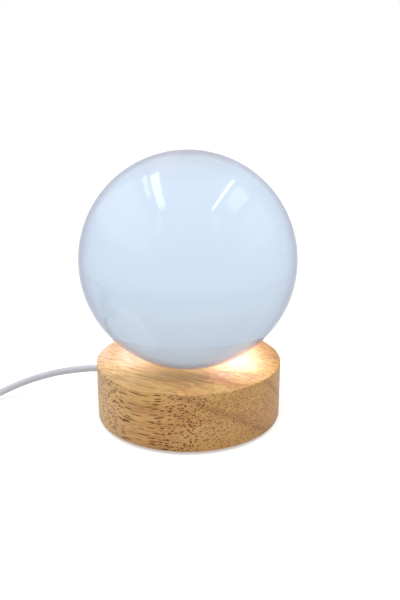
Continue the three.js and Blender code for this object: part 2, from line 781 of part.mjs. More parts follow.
// USB plug, along its own X from where the lead enters it
const plugGroup = new THREE.Group();
const plugEntry = routeToPlug[routeToPlug.length - 1];
plugGroup.position.set(plugEntry[0], plugEntry[1] + clearance, plugBody.height / 2);
plugGroup.rotation.z = Math.PI / 2;
lamp.add(plugGroup);
const plugFront = plugTaper.length + plugBody.length;
const shellStart = plugFront - plugShell.held;
const shellEnd = plugFront + plugShell.proud;

function alongX(geometry) {
  return geometry.rotateX(Math.PI / 2).rotateZ(Math.PI / 2);
}

function makePlugBody() {
  const section = roundedOutline(plugBody.width, plugBody.height, plugBody.corner);
  const body = alongX(slab(section, plugBody.length)).translate(plugTaper.length, 0, 0);
  const relief = turned([
    [0, 0],
    [plugTaper.small, 0],
    [plugTaper.large, plugTaper.length],
    [plugTaper.large, plugTaper.length + plugTaper.small],
    [0, plugTaper.length + plugTaper.small],
  ], 20).rotateY(Math.PI / 2);
  const pocket = new THREE.BoxGeometry(
    plugShell.held + clearance + overrun,
    plugShell.width + 2 * clearance,
    plugShell.height + 2 * clearance,
  ).translate(plugFront + (overrun - plugShell.held - clearance) / 2, 0, 0);
  add(plugGroup, 'plug_body', cut(join([body, relief]), [pocket]), finishes.lead);
}

function makePlugShell() {
  const { width, height, wall, corner } = plugShell;
  const outline = roundedOutline(width, height, corner);
  outline.holes.push(roundedOutline(width - 2 * wall, height - 2 * wall, corner - wall / 2));
  const sleeve = alongX(slab(outline, shellEnd - shellStart, 2)).translate(shellStart, 0, 0);
  add(plugGroup, 'plug_shell', sleeve, finishes.steel);
}

function makePlugTongue() {
  const { width, height, wall } = plugShell;
  const start = shellStart + clearance;
  const length = shellEnd - plugTongueBack - start;
  const bottom = -height / 2 + wall + clearance;
  const tongue = block(length, width - 2 * (wall + clearance), plugTongueThickness)
    .translate(start + length / 2, 0, bottom);
  add(plugGroup, 'plug_tongue', tongue, finishes.whitePlastic);
  const stripBottom = bottom + plugTongueThickness + clearance;
  [-1, 1].flatMap((side) => [
    [side * plugContact.outer, plugContactInset.outer],
    [side * plugContact.inner, plugContactInset.inner],
  ]).forEach(([y, inset], i) => {
    const stripStart = shellStart + plugContactInset.back;
    const stripLength = shellEnd - inset - stripStart;
    const strip = block(stripLength, plugContact.width, plugContact.thickness)
      .translate(stripStart + stripLength / 2, y, stripBottom);
    add(plugGroup, `plug_contact_${i + 1}`, strip, finishes.brass);
  });
}

makeBall();
makeBase();
makeFeet();
makeWindow();
makeHolder();
makeBoard();
makeHolderScrews();
makeInnerLead();
makeCores();
makeGrommet();
makeCover();
makeStretch('lead_from_base', routeFromBase);
const coilCentre = makeCoil();
makeCoilTie(coilCentre);
makeStretch('lead_to_switch', routeToSwitch);
makeLowerShell();
makeUpperShell();
makeRocker();
makeContacts();
makeSwitchWiring();
makeSwitchScrews();
makeStretch('lead_to_plug', routeToPlug);
makePlugBody();
makePlugShell();
makePlugTongue();

export default lamp;
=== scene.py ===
# %% [markdown]
# # Crystal ball lamp
# The real object is a clear crystal ball that rests loose in a conical seat, turned into a short
# block of pale hardwood. A small light module sits in the block under the ball, and a thin white
# USB lead feeds it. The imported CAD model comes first. It is the fixed frame: every piece made
# here stands where a CAD solid stands, and nothing in the frame is moved.

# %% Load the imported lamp
import json
import math

import bmesh
import bpy
from mathutils import Matrix, Vector


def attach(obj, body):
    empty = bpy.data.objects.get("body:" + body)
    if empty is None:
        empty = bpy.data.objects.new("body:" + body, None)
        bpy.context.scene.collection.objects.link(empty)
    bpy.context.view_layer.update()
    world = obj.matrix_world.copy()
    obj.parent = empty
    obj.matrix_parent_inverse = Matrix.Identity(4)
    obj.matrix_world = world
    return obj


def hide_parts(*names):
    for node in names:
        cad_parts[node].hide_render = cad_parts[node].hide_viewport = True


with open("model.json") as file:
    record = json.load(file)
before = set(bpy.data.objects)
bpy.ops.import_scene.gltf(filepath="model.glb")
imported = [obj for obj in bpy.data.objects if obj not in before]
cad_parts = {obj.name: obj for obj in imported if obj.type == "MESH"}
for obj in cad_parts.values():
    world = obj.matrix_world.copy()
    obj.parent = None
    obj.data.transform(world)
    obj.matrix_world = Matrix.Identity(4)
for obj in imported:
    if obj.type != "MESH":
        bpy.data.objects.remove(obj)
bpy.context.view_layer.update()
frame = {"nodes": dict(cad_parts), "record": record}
MM = 0.001
print("CAD nodes:", len(frame["nodes"]))

# %% [markdown]
# The camera comes next, because it says what the picture can show. A camera can be placed by eye,
# but here it was worked out from the outlines of the round base and the ball in the photograph: a
# round shape that looks like an ellipse gives the height of the eye, and how much smaller the far
# side looks gives the distance. The picture is upright, 400 by 600, so the sensor's 36 mm run
# along its height.

# %% Camera
PICTURE_HEIGHT = 600
FOCAL_PIXELS = 705
SENSOR = 36.0
EYE = (0.0, -0.2519, 0.1232)
LOOK_DOWN = 17.19
LOOK_RIGHT = 0.99


def stand(name, data):
    """Put an object that holds a camera, a curve, a mesh or a lamp in the scene."""
    made = bpy.data.objects.new(name, data)
    bpy.context.scene.collection.objects.link(made)
    return made


view = bpy.data.cameras.new("photo_view")
view.sensor_width = SENSOR
view.lens = SENSOR * FOCAL_PIXELS / PICTURE_HEIGHT
view.clip_start = 0.01
camera = stand("photo_view", view)
camera.location = EYE
camera.rotation_euler = (math.radians(90 - LOOK_DOWN), 0, math.radians(-LOOK_RIGHT))
bpy.context.scene.camera = camera
print("camera lens:", round(view.lens, 2), "mm")

# %% [markdown]
# The lead is one soft thing of a fixed length. It could be a mesh tube, but a curve with a round
# bevel is a tube that always keeps its thickness, and its middle line can be measured. The lead
# leaves the base at the left and back, droops to the table, and what is not needed is wound into
# a coil just past the picture's edge. The points are those of the CAD source.

# %% Routes of the lead, in millimetres
LEAD_RADIUS = 1.4
FROM_BASE = [
    (-33.8, 13.25, 12), (-34.1, 13.4, 12), (-36, 14.1, 12), (-38, 14.8, 11.9), (-41, 15.4, 11.6),
    (-44.3, 15.9, 11.1), (-47.7, 16.4, 10.5), (-51.1, 16.9, 9.8), (-54.5, 17.3, 9),
    (-57.8, 17.5, 8.1), (-61.1, 17.4, 7.2), (-64.4, 17, 6.3), (-67.6, 16.2, 5.4),
    (-70.7, 15, 4.5), (-73.6, 13.4, 3.7), (-76.4, 11.4, 2.9), (-79.1, 8.8, 2.2),
    (-81.5, 5.5, 1.7), (-83.2, 1.7, 1.55), (-84.2, -2.6, 1.65), (-84.5, -7.2, 1.95),
]
TO_SWITCH = [
    (-84.5, -20, 12.1), (-84.7, -24, 11.6), (-85.3, -28.5, 10.8), (-86.6, -33, 9.7),
    (-88.7, -37.2, 8.5), (-91.6, -41, 7.3), (-95.2, -44.2, 6.3), (-98.6, -46.6, 5.75),
    (-101.5, -47.9, 5.55), (-103.4, -48.3, 5.5), (-105.3, -48.4, 5.5), (-109.3, -48.4, 5.5),
]
TO_PLUG = [
    (-139.3, -48.4, 5.5), (-143.3, -48.4, 5.5), (-145.5, -48.4, 5.5), (-147.9, -48.1, 5.4),
    (-150.3, -47.4, 5.2), (-152.5, -46.2, 5), (-154.4, -44.6, 4.8), (-156, -42.6, 4.5),
    (-157, -40.3, 4.3), (-157.5, -37.8, 4.1), (-157.5, -35.6, 4), (-157.5, -33.3, 4),
    (-157.5, -28, 4),
]
print("points of the three stretches:", len(FROM_BASE), len(TO_SWITCH), len(TO_PLUG))

# %% [markdown]
# The coil is four layers of two and a half turns. Each layer spirals inwards or outwards, and the
# lead climbs to the next layer in the half turn where the spiral turns back, as it does when a
# lead is wound by hand round two fingers. A formula gives each point, so the turns keep apart.

# %% Coil
COIL = {"x": -104.0, "y": -14.1, "outer": 19.5, "pitch": 3.35, "lowest": 2.1}
COIL_LAYERS = 4
LAYER_TURNS = 2.5
CLIMB_TURNS = 0.5
COIL_STEPS = 32
COIL_END = 2.8  # the lead runs straight for this far before the first turn and after the last


def smooth_step(share):
    share = min(max(share, 0.0), 1.0)
    return share * share * (3 - 2 * share)


def coil_point(turn):
    """The middle of the lead after so many turns, clockwise seen from above."""
    inward = 1 - abs(1 - (turn / LAYER_TURNS) % 2)
    radius = COIL["outer"] - inward * LAYER_TURNS * COIL["pitch"]
    climbs = [(turn - k * LAYER_TURNS) / CLIMB_TURNS + 0.5 for k in range(1, COIL_LAYERS)]
    height = COIL["lowest"] + COIL["pitch"] * sum(smooth_step(climb) for climb in climbs)
    angle = -2 * math.pi * turn
    return (COIL["x"] + radius * math.cos(angle), COIL["y"] + radius * math.sin(angle), height)


def coil_points():
    steps = int(COIL_LAYERS * LAYER_TURNS * COIL_STEPS)
    turns = [coil_point(i / COIL_STEPS) for i in range(steps + 1)]
    first, last = turns[0], turns[-1]
    before = (first[0], first[1] + COIL_END, first[2])
    after = (last[0], last[1] - COIL_END, last[2])
    return [before, *turns, after]


long_route = [*FROM_BASE, *coil_points(), *TO_SWITCH]
print("points along the lead:", len(long_route))

# %% Lead as curves
def lead_curve(name, points):
    """A round lead through points in millimetres, with closed ends."""
    curve = bpy.data.curves.new(name, "CURVE")
    curve.dimensions = "3D"
    curve.bevel_depth = LEAD_RADIUS * MM
    curve.bevel_resolution = 6
    curve.resolution_u = 3
    curve.use_fill_caps = True
    spline = curve.splines.new("BEZIER")
    spline.bezier_points.add(len(points) - 1)
    for knot, point in zip(spline.bezier_points, points):
        knot.co = Vector(point) * MM
        knot.handle_left_type = knot.handle_right_type = "AUTO"
    return stand(name, curve)


lead_with_coil = lead_curve("lead_with_coil", long_route)
lead_at_plug = lead_curve("lead_at_plug", TO_PLUG)

# %% [markdown]
# Finishes are built from shader nodes. Many small sums are easier to read as Python than as boxes
# and links, so a class wraps a socket, and plus, minus, times and so on add Math nodes to it. All
# other nodes come from one method, which sets a node's options first and then its sockets.

# %% Shader sums as Python
class Signal:
    """A number that changes over a surface."""

    def __init__(self, finish, socket):
        self.finish = finish
        self.socket = socket

    def reckon(self, operation, first, second):
        return self.finish.node("ShaderNodeMath", {"operation": operation}, {0: first, 1: second})

    def __add__(self, other):
        return self.reckon("ADD", self, other)

    def __sub__(self, other):
        return self.reckon("SUBTRACT", self, other)

    def __rsub__(self, other):
        return self.reckon("SUBTRACT", other, self)

    def __mul__(self, other):
        return self.reckon("MULTIPLY", self, other)

    def __truediv__(self, other):
        return self.reckon("DIVIDE", self, other)

    def __rtruediv__(self, other):
        return self.reckon("DIVIDE", other, self)

    def __lt__(self, other):
        return self.reckon("LESS_THAN", self, other)

    def clipped(self):
        return self.finish.node("ShaderNodeClamp", {}, {"Value": self})

    def maximum(self, other):
        return self.reckon("MAXIMUM", self, other)

    __radd__ = __add__
    __rmul__ = __mul__


print("a signal can be added, subtracted, multiplied, divided, compared and clipped")

# %% [markdown]
# A finish starts with Blender's Principled shader, which covers wood, plastic, rubber, metal and
# glass alike. What is the same all over goes straight on its sockets. What changes over the
# surface, such as grain, goes to the colour, the roughness or the bump.

# %% Finish
MIX_FIRST, MIX_SECOND, MIX_COLOUR = 6, 7, 2


class Finish:
    """A material with one Principled shader, and the means to add nodes to it."""

    def __init__(self, name, **constants):
        self.wrap(bpy.data.materials.new(name), "Principled BSDF")
        self.surface(**constants)

    def wrap(self, owner, shader):
        """Take a material, a lamp or the world, and the shader node that it starts with."""
        owner.use_nodes = True
        self.owner = owner
        self.tree = owner.node_tree
        self.shader = self.tree.nodes[shader]

    def node(self, kind, settings, sockets, out=0):
        """Add a node: its settings first, then values or links for its sockets."""
        made = self.tree.nodes.new(kind)
        for setting, value in settings.items():
            if setting == "stops":
                self.set_stops(made.color_ramp, value)
            else:
                setattr(made, setting, value)
        for socket, value in sockets.items():
            self.feed(made.inputs[socket], value)
        return Signal(self, made.outputs[out])

    def feed(self, socket, value):
        if isinstance(value, Signal):
            self.tree.links.new(value.socket, socket)
        else:
            socket.default_value = value

    def set_stops(self, ramp, stops):
        while len(ramp.elements) > len(stops):
            ramp.elements.remove(ramp.elements[-1])
        while len(ramp.elements) < len(stops):
            ramp.elements.new(1.0)
        for element, (position, colour) in zip(ramp.elements, stops):
            element.position = position
            element.color = colour

    def surface(self, **values):
        """Give the shader's sockets their values or links."""
        for socket, value in values.items():
            self.feed(self.shader.inputs[socket.replace("_", " ")], value)
        return self.owner

    def place(self, size=(1, 1, 1), turn=(0, 0, 0)):
        """Object coordinates, measured in cells of the given size in metres."""
        at = self.node("ShaderNodeTexCoord", {}, {}, "Object")
        sockets = {"Vector": at, "Rotation": turn, "Scale": size}
        return self.node("ShaderNodeMapping", {"vector_type": "TEXTURE"}, sockets)

    def light_path(self, question):
        """What Blender knows of the ray that looks, such as whether it comes from the camera."""
        return self.node("ShaderNodeLightPath", {}, {}, question)

    def vector(self, operation, first, second, out="Vector"):
        settings = {"operation": operation}
        return self.node("ShaderNodeVectorMath", settings, {0: first, 1: second}, out)

    def axes(self, vector):
        """The three numbers of a vector."""
        first = self.node("ShaderNodeSeparateXYZ", {}, {"Vector": vector})
        return [Signal(self, socket) for socket in first.socket.node.outputs]

    def noise(self, at, detail, roughness=0.5, distortion=0.0):
        sockets = {"Vector": at, "Scale": 1.0, "Detail": detail, "Roughness": roughness,
                   "Distortion": distortion}
        return self.node("ShaderNodeTexNoise", {}, sockets)

    def even_noise(self, cell, detail, roughness=0.5):
        """Noise in cells of one size in millimetres."""
        return self.noise(self.place((cell * MM,) * 3), detail, roughness)

    def ramp(self, value, *stops):
        return self.node("ShaderNodeValToRGB", {"stops": stops}, {"Fac": value}, "Color")

    def blend(self, share, first, second, mode="MIX"):
        settings = {"data_type": "RGBA", "blend_type": mode}
        sockets = {0: share, MIX_FIRST: first, MIX_SECOND: second}
        return self.node("ShaderNodeMix", settings, sockets, MIX_COLOUR)

    def bump(self, height, distance, strength=1.0):
        sockets = {"Height": height, "Distance": distance, "Strength": strength}
        return self.node("ShaderNodeBump", {}, sockets, "Normal")


def paint(red, green, blue):
    """A colour as a picture writes it, 0 to 255, turned into the light that the shader wants."""
    shares = [c / 255 for c in (red, green, blue)]
    return (*[s / 12.92 if s <= 0.04045 else ((s + 0.055) / 1.055) ** 2.4 for s in shares], 1.0)


def shaded(colour, factor):
    """The same colour, darker or paler by a factor."""
    return (*[min(1.0, c * factor) for c in colour[:3]], 1.0)


finishes = {}
print("paint(255, 255, 255) is", paint(255, 255, 255))

# %% [markdown]
# The crystal is solid and clear; the breath of cool blue in it is painted, as said below. Glass
# can be faked with a mix of clear and glossy surfaces, but only a real refracting ball turns the
# room upside down in it and gathers light into bright patches on the wood, so it is a full
# transmission shader. Light crosses the surface twice, and the tint on the shader is what both
# crossings leave of white. Close to its rim a real ball bends the view so far that it shows the
# dim sides of the studio, as a thin grey-blue line. The room here is white all round, so that
# line is painted shade: Layer Weight deepens the tint where the surface is seen at a slant, the
# same from every side. The cool cast is the studio's, seen in the ball, and not the glass's own,
# so it is a painted studio cast, with painted shade that makes it darker and greyer towards the
# bottom. The light that the ball throws on the wood is not blue in the photograph, so rays that
# come from a dull surface pass through without the tint. The painted dark line is fainter at the
# top and the bottom than at the sides, so two ramps are blended by the height.

# %% Crystal
BALL_RADIUS = 40.0
BALL_CENTRE = 60.5
CRYSTAL_INDEX = 1.5
CLEAR = (0.97, 0.97, 0.96, 1)
# Painted studio cast: pale blue high in the ball, and darker and greyer low down, as painted
# shade.
STUDIO_CAST_HIGH = (0.685, 0.82, 0.98, 1)
STUDIO_SHADE_LOW = (0.65, 0.74, 0.83, 1)
PAINTED_CAST_BY_HEIGHT = [(0.0, STUDIO_CAST_HIGH), (0.55, STUDIO_CAST_HIGH), (0.95, STUDIO_SHADE_LOW)]
# Painted rim shade: how much light is left at each slant, at the sides and at the top and bottom.
SIDE_RIM = [(0.3, 0.99), (0.44, 0.93), (0.54, 0.86), (0.60, 0.76), (0.65, 0.66), (0.70, 0.50),
            (0.76, 0.32), (0.86, 0.16)]
TOP_RIM = [(0.3, 1.0), (0.49, 0.95), (0.54, 0.90), (0.60, 0.87), (0.65, 0.86), (0.70, 0.70),
           (0.76, 0.45), (0.86, 0.21)]
RIM_BLUE = 0.75
TOP_RIM_ENDS = 0.38
LOW_RIM_STARTS = 0.6
RIM_FADE = 0.23

crystal = Finish("clear_crystal", Transmission_Weight=1.0, Roughness=0.0, IOR=CRYSTAL_INDEX)
height = crystal.axes(crystal.place())[2]
below_top = ((BALL_CENTRE + BALL_RADIUS) * MM - height) / (2 * BALL_RADIUS * MM)
# Painted studio cast by the height in the ball, with painted shade towards the bottom.
painted_studio_cast = crystal.ramp(below_top.clipped(), *PAINTED_CAST_BY_HEIGHT)
# Painted shade along the rim, deeper where the surface is seen at a slant.
slant = crystal.node("ShaderNodeLayerWeight", {}, {"Blend": 0.5}, "Facing")
side_rim_shade, top_rim_shade = [
    crystal.ramp(slant, *[(at, (share, share, share ** RIM_BLUE, 1)) for at, share in shares])
    for shares in (SIDE_RIM, TOP_RIM)
]
near_top = (TOP_RIM_ENDS - below_top) / RIM_FADE
near_bottom = (below_top - LOW_RIM_STARTS) / RIM_FADE
# The painted rim shade, fainter at the top and the bottom, darkens the painted studio cast.
rim = crystal.blend(near_top.maximum(near_bottom).clipped(), side_rim_shade, top_rim_shade)
painted_cast_and_rim = crystal.blend(1.0, painted_studio_cast, rim, "MULTIPLY")
from_wood = crystal.light_path("Diffuse Depth").clipped()
finishes["crystal"] = crystal.surface(Base_Color=crystal.blend(from_wood, painted_cast_and_rim, CLEAR))
print("crystal: refractive index", CRYSTAL_INDEX)

# %% [markdown]
# The base is a pale hardwood with open pores, sanded and oiled. A picture of wood would stretch
# over the rim, so the wood is a solid pattern instead: the same three-dimensional grain shows on
# the top, on the rim and round the side, as it does on a turned block. The fibres run level, a
# little to the right and towards the eye, and bow gently, as the tree grew. All the patterns are
# laid along them, so their frame comes first.

# %% Run of the fibres
FIBRE_TURN = math.radians(-30)
FIBRE_BOW = 0.070
FIBRE_WANDER = 0.0016
WANDER_CELL = 22
wood = Finish("turned_hardwood", Specular_IOR_Level=0.3, Coat_Weight=0.2, Coat_Roughness=0.3)

run, side, rise = wood.axes(wood.place(turn=(0, 0, FIBRE_TURN)))
wander = (wood.even_noise(WANDER_CELL, detail=1.0) - 0.5) * FIBRE_WANDER
bowed = {"X": run, "Y": side + wander, "Z": rise - run * run / (2 * FIBRE_BOW) + wander}
grain = wood.node("ShaderNodeCombineXYZ", {}, bowed)


def along_fibres(length, width, height, centre=(0, 0, 0)):
    """The wood's own frame, in cells of that size in millimetres."""
    shifted = wood.vector("SUBTRACT", grain, tuple(c * MM for c in centre))
    return wood.vector("DIVIDE", shifted, (length * MM, width * MM, height * MM))


print("wood: fibres turned", round(math.degrees(FIBRE_TURN)), "degrees")

# %% [markdown]
# The colour is laid on in layers, and each covers a share of those before it: bands and fine
# streaks, a drift between pinkish and yellow, and then the late wood of the growth rings, round a
# pith that lies well outside the block. The left of the block is paler sapwood. Where the fibres
# meet the surface end on, wood drinks more oil and is darker and redder, and the angle between the
# surface and the fibres says where that is. The top was planed and sanded finer than the side, so
# its rings and pores are fainter and its fine lines are stronger.

# %% Patterns in the wood
PITH = (0, 60, 89)
RING_SPACING = 14.47
RINGS_PER_CELL = 20 / math.tau
RING_STRETCH = 3
LATE_WOOD = [(0.0, 0.1), (0.15, 0.0), (0.78, 0.1), (0.92, 1.0), (1.0, 0.2)]
SAPWOOD_START = 0.15
SAPWOOD_WIDTH = 0.045
# Each pattern: the size of its cells, and the noise's detail, roughness and distortion.
PATTERNS = {
    "bands": ((110, 8, 6), 3.0, 0.55, 0.6),
    "streaks": ((24, 0.9, 0.9), 4.0, 0.62),
    "drift": ((30, 13, 9), 2.0, 0.5),
    "speckle": ((4, 0.34, 0.34), 2.0, 0.6),
    "fine_lines": ((45, 1.3, 1.3), 3.0, 0.62),
}

ring_cell = RING_SPACING * RINGS_PER_CELL
rings = wood.node(
    "ShaderNodeTexWave",
    {"wave_type": "RINGS", "rings_direction": "X", "wave_profile": "SAW"},
    {"Vector": along_fibres(ring_cell * RING_STRETCH, ring_cell, ring_cell, PITH), "Scale": 1.0,
     "Distortion": 0.5, "Detail": 2.0, "Detail Scale": 2.0},
    "Fac",
)
late_wood = wood.ramp(rings, *[(at, (dark, dark, dark, 1)) for at, dark in LATE_WOOD])
bands, streaks, drift, speckle, fine_lines = [
    wood.noise(along_fibres(*cell), *how) for cell, *how in PATTERNS.values()
]
sapwood = (SAPWOOD_START - run / SAPWOOD_WIDTH).clipped()

fibre_way = (math.cos(FIBRE_TURN), math.sin(FIBRE_TURN), 0)
surface_way = wood.node("ShaderNodeTexCoord", {}, {}, "Normal")
end_on = wood.vector("DOT_PRODUCT", surface_way, fibre_way, "Value")
end_grain = (end_on * end_on).clipped()
upward = wood.axes(surface_way)[2]
planed = (upward * upward).clipped()
print("wood: rings", RING_SPACING, "mm apart; patterns:", list(PATTERNS))

# %% Colour of the wood
wood_colour = wood.ramp(
    (bands * 0.55 + streaks * 0.45).clipped(),
    (0.35, paint(166, 107, 46)),
    (0.45, paint(212, 155, 80)),
    (0.55, paint(229, 178, 104)),
    (0.64, paint(237, 201, 132)),
)
drift_colour = wood.ramp(drift, (0.34, paint(223, 180, 93)), (0.64, paint(212, 138, 86)))
speckle_colour = wood.ramp(speckle, (0.36, paint(138, 82, 37)), (0.66, paint(240, 209, 148)))
fine_line = (fine_lines * 6 - 2.8).clipped()
layers = {
    "drift": (0.4, drift_colour),
    "end grain": (end_grain * 0.36, paint(206, 145, 95)),
    "late wood": (late_wood * (0.5 - planed * 0.4), paint(154, 93, 53)),
    "sapwood": (sapwood * 0.85, paint(243, 209, 163)),
    "speckle": (0.16 + end_grain * 0.16, speckle_colour),
    "fine lines": (fine_line * (0.12 + planed * 0.38), paint(158, 102, 44)),
}
for share, colour in layers.values():
    wood_colour = wood.blend(share, wood_colour, colour)
print("wood: layers of colour:", list(layers))

# %% [markdown]
# Pores are thin tubes along the fibres. Where the side runs along them they show as dashes, and
# where it cuts them across, as dots. So the length of a dash needs no number of its own, because
# it follows from the angle. Voronoi cells, stretched along the fibres, hold one closed tube each,
# in two sizes, some 22 and 9 mm long. Pores that are cut straight across are a little smaller.

# %% Pores of the wood
PORE_EDGE = 0.06
END_ON_SMALLER = 0.08
CROWD_LEAST = 0.11
CROWD_IN_BANDS = 1.98
PORE_DEPTH = 0.08
DARK_PORES = {"length": 22, "width": 0.72, "radius": 0.33, "spare": 0.1}
FINE_PORES = {"length": 9, "width": 0.5, "radius": 0.22, "spare": 0.12}


def pores(length, width, radius, spare):
    """One closed tube in most cells of that length and width; 1 inside, 0 outside."""
    cells = {"voronoi_dimensions": "3D", "feature": "F1"}
    sockets = {"Vector": along_fibres(length, width, width), "Scale": 1.0, "Randomness": 1.0}
    far = wood.node("ShaderNodeTexVoronoi", cells, sockets, "Distance")
    pick = wood.node("ShaderNodeTexVoronoi", cells, sockets, "Color")
    chance = wood.node("ShaderNodeSeparateColor", {}, {"Color": pick}, "Red")
    reach = radius + spare * chance - end_grain * END_ON_SMALLER
    crowded = bands * CROWD_IN_BANDS + CROWD_LEAST
    return ((reach - far) / PORE_EDGE).clipped() * (chance < crowded)


dark_pores = pores(**DARK_PORES)
fine_pores = pores(**FINE_PORES)
wood_colour = wood.blend(fine_pores * (0.55 - planed * 0.3), wood_colour, paint(138, 82, 37))
wood_colour = wood.blend(dark_pores * (0.84 - planed * 0.6), wood_colour, paint(98, 50, 12))
finishes["wood"] = wood.surface(
    Base_Color=wood_colour,
    Roughness=0.42 + dark_pores * 0.3 + speckle * 0.12,
    Normal=wood.bump(speckle * 0.25 - dark_pores * 0.9 - fine_pores * 0.3, PORE_DEPTH * MM,
                     strength=0.5),
)
print("wood: pores", DARK_PORES["length"], "and", FINE_PORES["length"], "mm long")

# %% [markdown]
# The lead's jacket is soft white plastic with a dull skin. Close to, it shows faint marks where it
# was drawn through the die, and a little dust. The moulded parts, the switch, the plug and the
# grommet, have the fine even grain of a spark-cut mould. One function makes such a finish from a
# colour, so that each part can have its own grain.

# %% Plastics and rubber
CLOUD_CELL = 9
CLOUD_DARKENS = 2.2
GLOSS_SWING = 0.12
# Each finish: its name and colour, then its roughness, its grain's size and depth in millimetres,
# and how cloudy its colour is.
MOULDED = {
    "lead_jacket": ("lead_jacket_white", (214, 216, 224), 0.55, 0.35, 0.02, 0.04),
    "white_plastic": ("moulded_white", (225, 225, 226), 0.4, 0.16, 0.012, 0.04),
    "tie_plastic": ("tie_band_white", (222, 223, 227), 0.32, 0.5, 0.01, 0.04),
    "black_plastic": ("cover_black", (46, 46, 49), 0.55, 0.3, 0.03, 0.1),
    "rubber": ("foot_rubber", (50, 50, 53), 0.8, 0.25, 0.03, 0.12),
    "chip": ("resistor_body", (36, 36, 40), 0.35, 0.2, 0.005, 0.1),
    "red_insulation": ("core_red", (193, 48, 42), 0.42, 0.3, 0.01, 0.08),
    "black_insulation": ("core_black", (38, 38, 41), 0.42, 0.3, 0.01, 0.1),
    "circuit_board": ("board_white", (238, 239, 234), 0.35, 0.4, 0.01, 0.05),
}


def moulded(name, colour, roughness, grain_size, grain_depth, cloudiness):
    """Plastic or rubber with the fine grain of its mould."""
    finish = Finish(name)
    grain = finish.even_noise(grain_size, detail=2.0, roughness=0.6)
    cloud = finish.even_noise(CLOUD_CELL, detail=3.0, roughness=0.55)
    darker = shaded(colour, 1 - CLOUD_DARKENS * cloudiness)
    return finish.surface(
        Base_Color=finish.blend(cloud, darker, shaded(colour, 1 + cloudiness)),
        Roughness=roughness + (grain - 0.5) * GLOSS_SWING,
        Normal=finish.bump(grain, grain_depth * MM, strength=0.6),
    )


for slot, (name, colour, *how) in MOULDED.items():
    finishes[slot] = moulded(name, paint(*colour), *how)
print("plastics:", list(MOULDED))

# %% [markdown]
# The screws and the plug's shell are plated steel, the contacts brass strip. Plating is never
# quite even, so a stretched noise changes the roughness in fine lines, as rolling leaves them. The
# light chips are a yellow resin over the die. The window over them is clear acrylic, a little
# frosted so that the chips don't show as dots.

# %% Metals
DULL_SPOTS = 0.82
PLATING_SWING = 0.25
LINE = {"length": 3, "width": 0.12, "depth": 0.004}
# Each finish: its name, its colour, its roughness, and the axis of its fine lines.
PLATED = {
    "steel": ("zinc_plated_steel", (202, 204, 208), 0.3, 0),
    "plug_steel": ("plug_shell_steel", (188, 190, 194), 0.28, 1),
    "brass": ("brass_strip", (214, 178, 102), 0.28, 0),
}


def plated(name, colour, roughness, axis):
    """Metal with fine lines along one axis, 0 for X, 1 for Y, 2 for Z."""
    finish = Finish(name, Metallic=1.0)
    size = [LINE["width"] * MM] * 3
    size[axis] = LINE["length"] * MM
    lines = finish.noise(finish.place(tuple(size)), detail=3.0, roughness=0.6)
    cloud = finish.even_noise(1.6, detail=2.0)
    return finish.surface(
        Base_Color=finish.blend(cloud, shaded(colour, DULL_SPOTS), colour),
        Roughness=roughness + (lines - 0.5) * PLATING_SWING,
        Normal=finish.bump(lines, LINE["depth"] * MM, strength=0.5),
    )


for slot, (name, colour, *how) in PLATED.items():
    finishes[slot] = plated(name, paint(*colour), *how)
print("metals:", list(PLATED))

# %% Light chips and window
chips = Finish("light_chip_resin", Roughness=0.35, Coat_Weight=0.4)
resin = chips.even_noise(0.5, detail=2.0)
finishes["led_phosphor"] = chips.surface(
    Base_Color=chips.ramp(resin, (0.3, paint(240, 208, 110)), (0.7, paint(250, 226, 150))),
    Emission_Color=chips.ramp(resin, (0.3, paint(120, 90, 30)), (0.7, paint(150, 118, 50))),
)
acrylic = Finish("window_acrylic", Transmission_Weight=1.0, IOR=1.49)
frost = acrylic.even_noise(0.8, detail=2.0)
finishes["clear_plastic"] = acrylic.surface(
    Base_Color=acrylic.blend(frost, (0.93, 0.94, 0.95, 1), (0.98, 0.98, 0.98, 1)),
    Roughness=0.12 + frost * 0.2,
)
print("finishes:", len(finishes))

# %% [markdown]
# Pieces are shaped in millimetres with bmesh, Blender's mesh tool kit, and are made metres only at
# the end, because cutting one mesh with another works better on numbers that are not tiny. Three
# helpers do most of the work: a spin for whatever is turned, a rounded block, and a rod.

# %% Shaping helpers
SMOOTH_UP_TO = math.radians(32)
SAME_PLACE = 1e-4
QUARTER_TURN = math.radians(90)
TO_THE_RIGHT = Matrix.Rotation(QUARTER_TURN, 4, "Y")
TO_THE_FRONT = Matrix.Rotation(QUARTER_TURN, 4, "X")


def spun(profile, steps=96):
    """A closed shape turned about Z from pairs of radius and height."""
    shape = bmesh.new()
    points = [shape.verts.new((radius, 0, height)) for radius, height in profile]
    edges = [shape.edges.new(pair) for pair in zip(points, points[1:])]
    bmesh.ops.spin(shape, geom=points + edges, cent=(0, 0, 0), axis=(0, 0, 1),
                   angle=math.tau, steps=steps, use_merge=True)
    return closed(shape)


def closed(shape):
    """Weld points that touch, and let all faces point outwards."""
    bmesh.ops.remove_doubles(shape, verts=shape.verts, dist=SAME_PLACE)
    bmesh.ops.recalc_face_normals(shape, faces=shape.faces)
    return shape


def rod(radius, length, steps=32):
    return spun([(0, 0), (radius, 0), (radius, length), (0, length)], steps)


def block(length, width, height):
    """A block that stands on the XY plane."""
    shape = bmesh.new()
    bmesh.ops.create_cube(shape, size=1)
    bmesh.ops.scale(shape, vec=(length, width, height), verts=shape.verts)
    bmesh.ops.translate(shape, vec=(0, 0, height / 2), verts=shape.verts)
    return shape


def rounded(shape, edges, width, segments):
    """Round some of a shape's edges, with so many strips of faces."""
    bmesh.ops.bevel(shape, geom=edges, offset=width, offset_type="OFFSET", affect="EDGES",
                    segments=segments, profile=0.5, material=-1, clamp_overlap=True)
    return shape


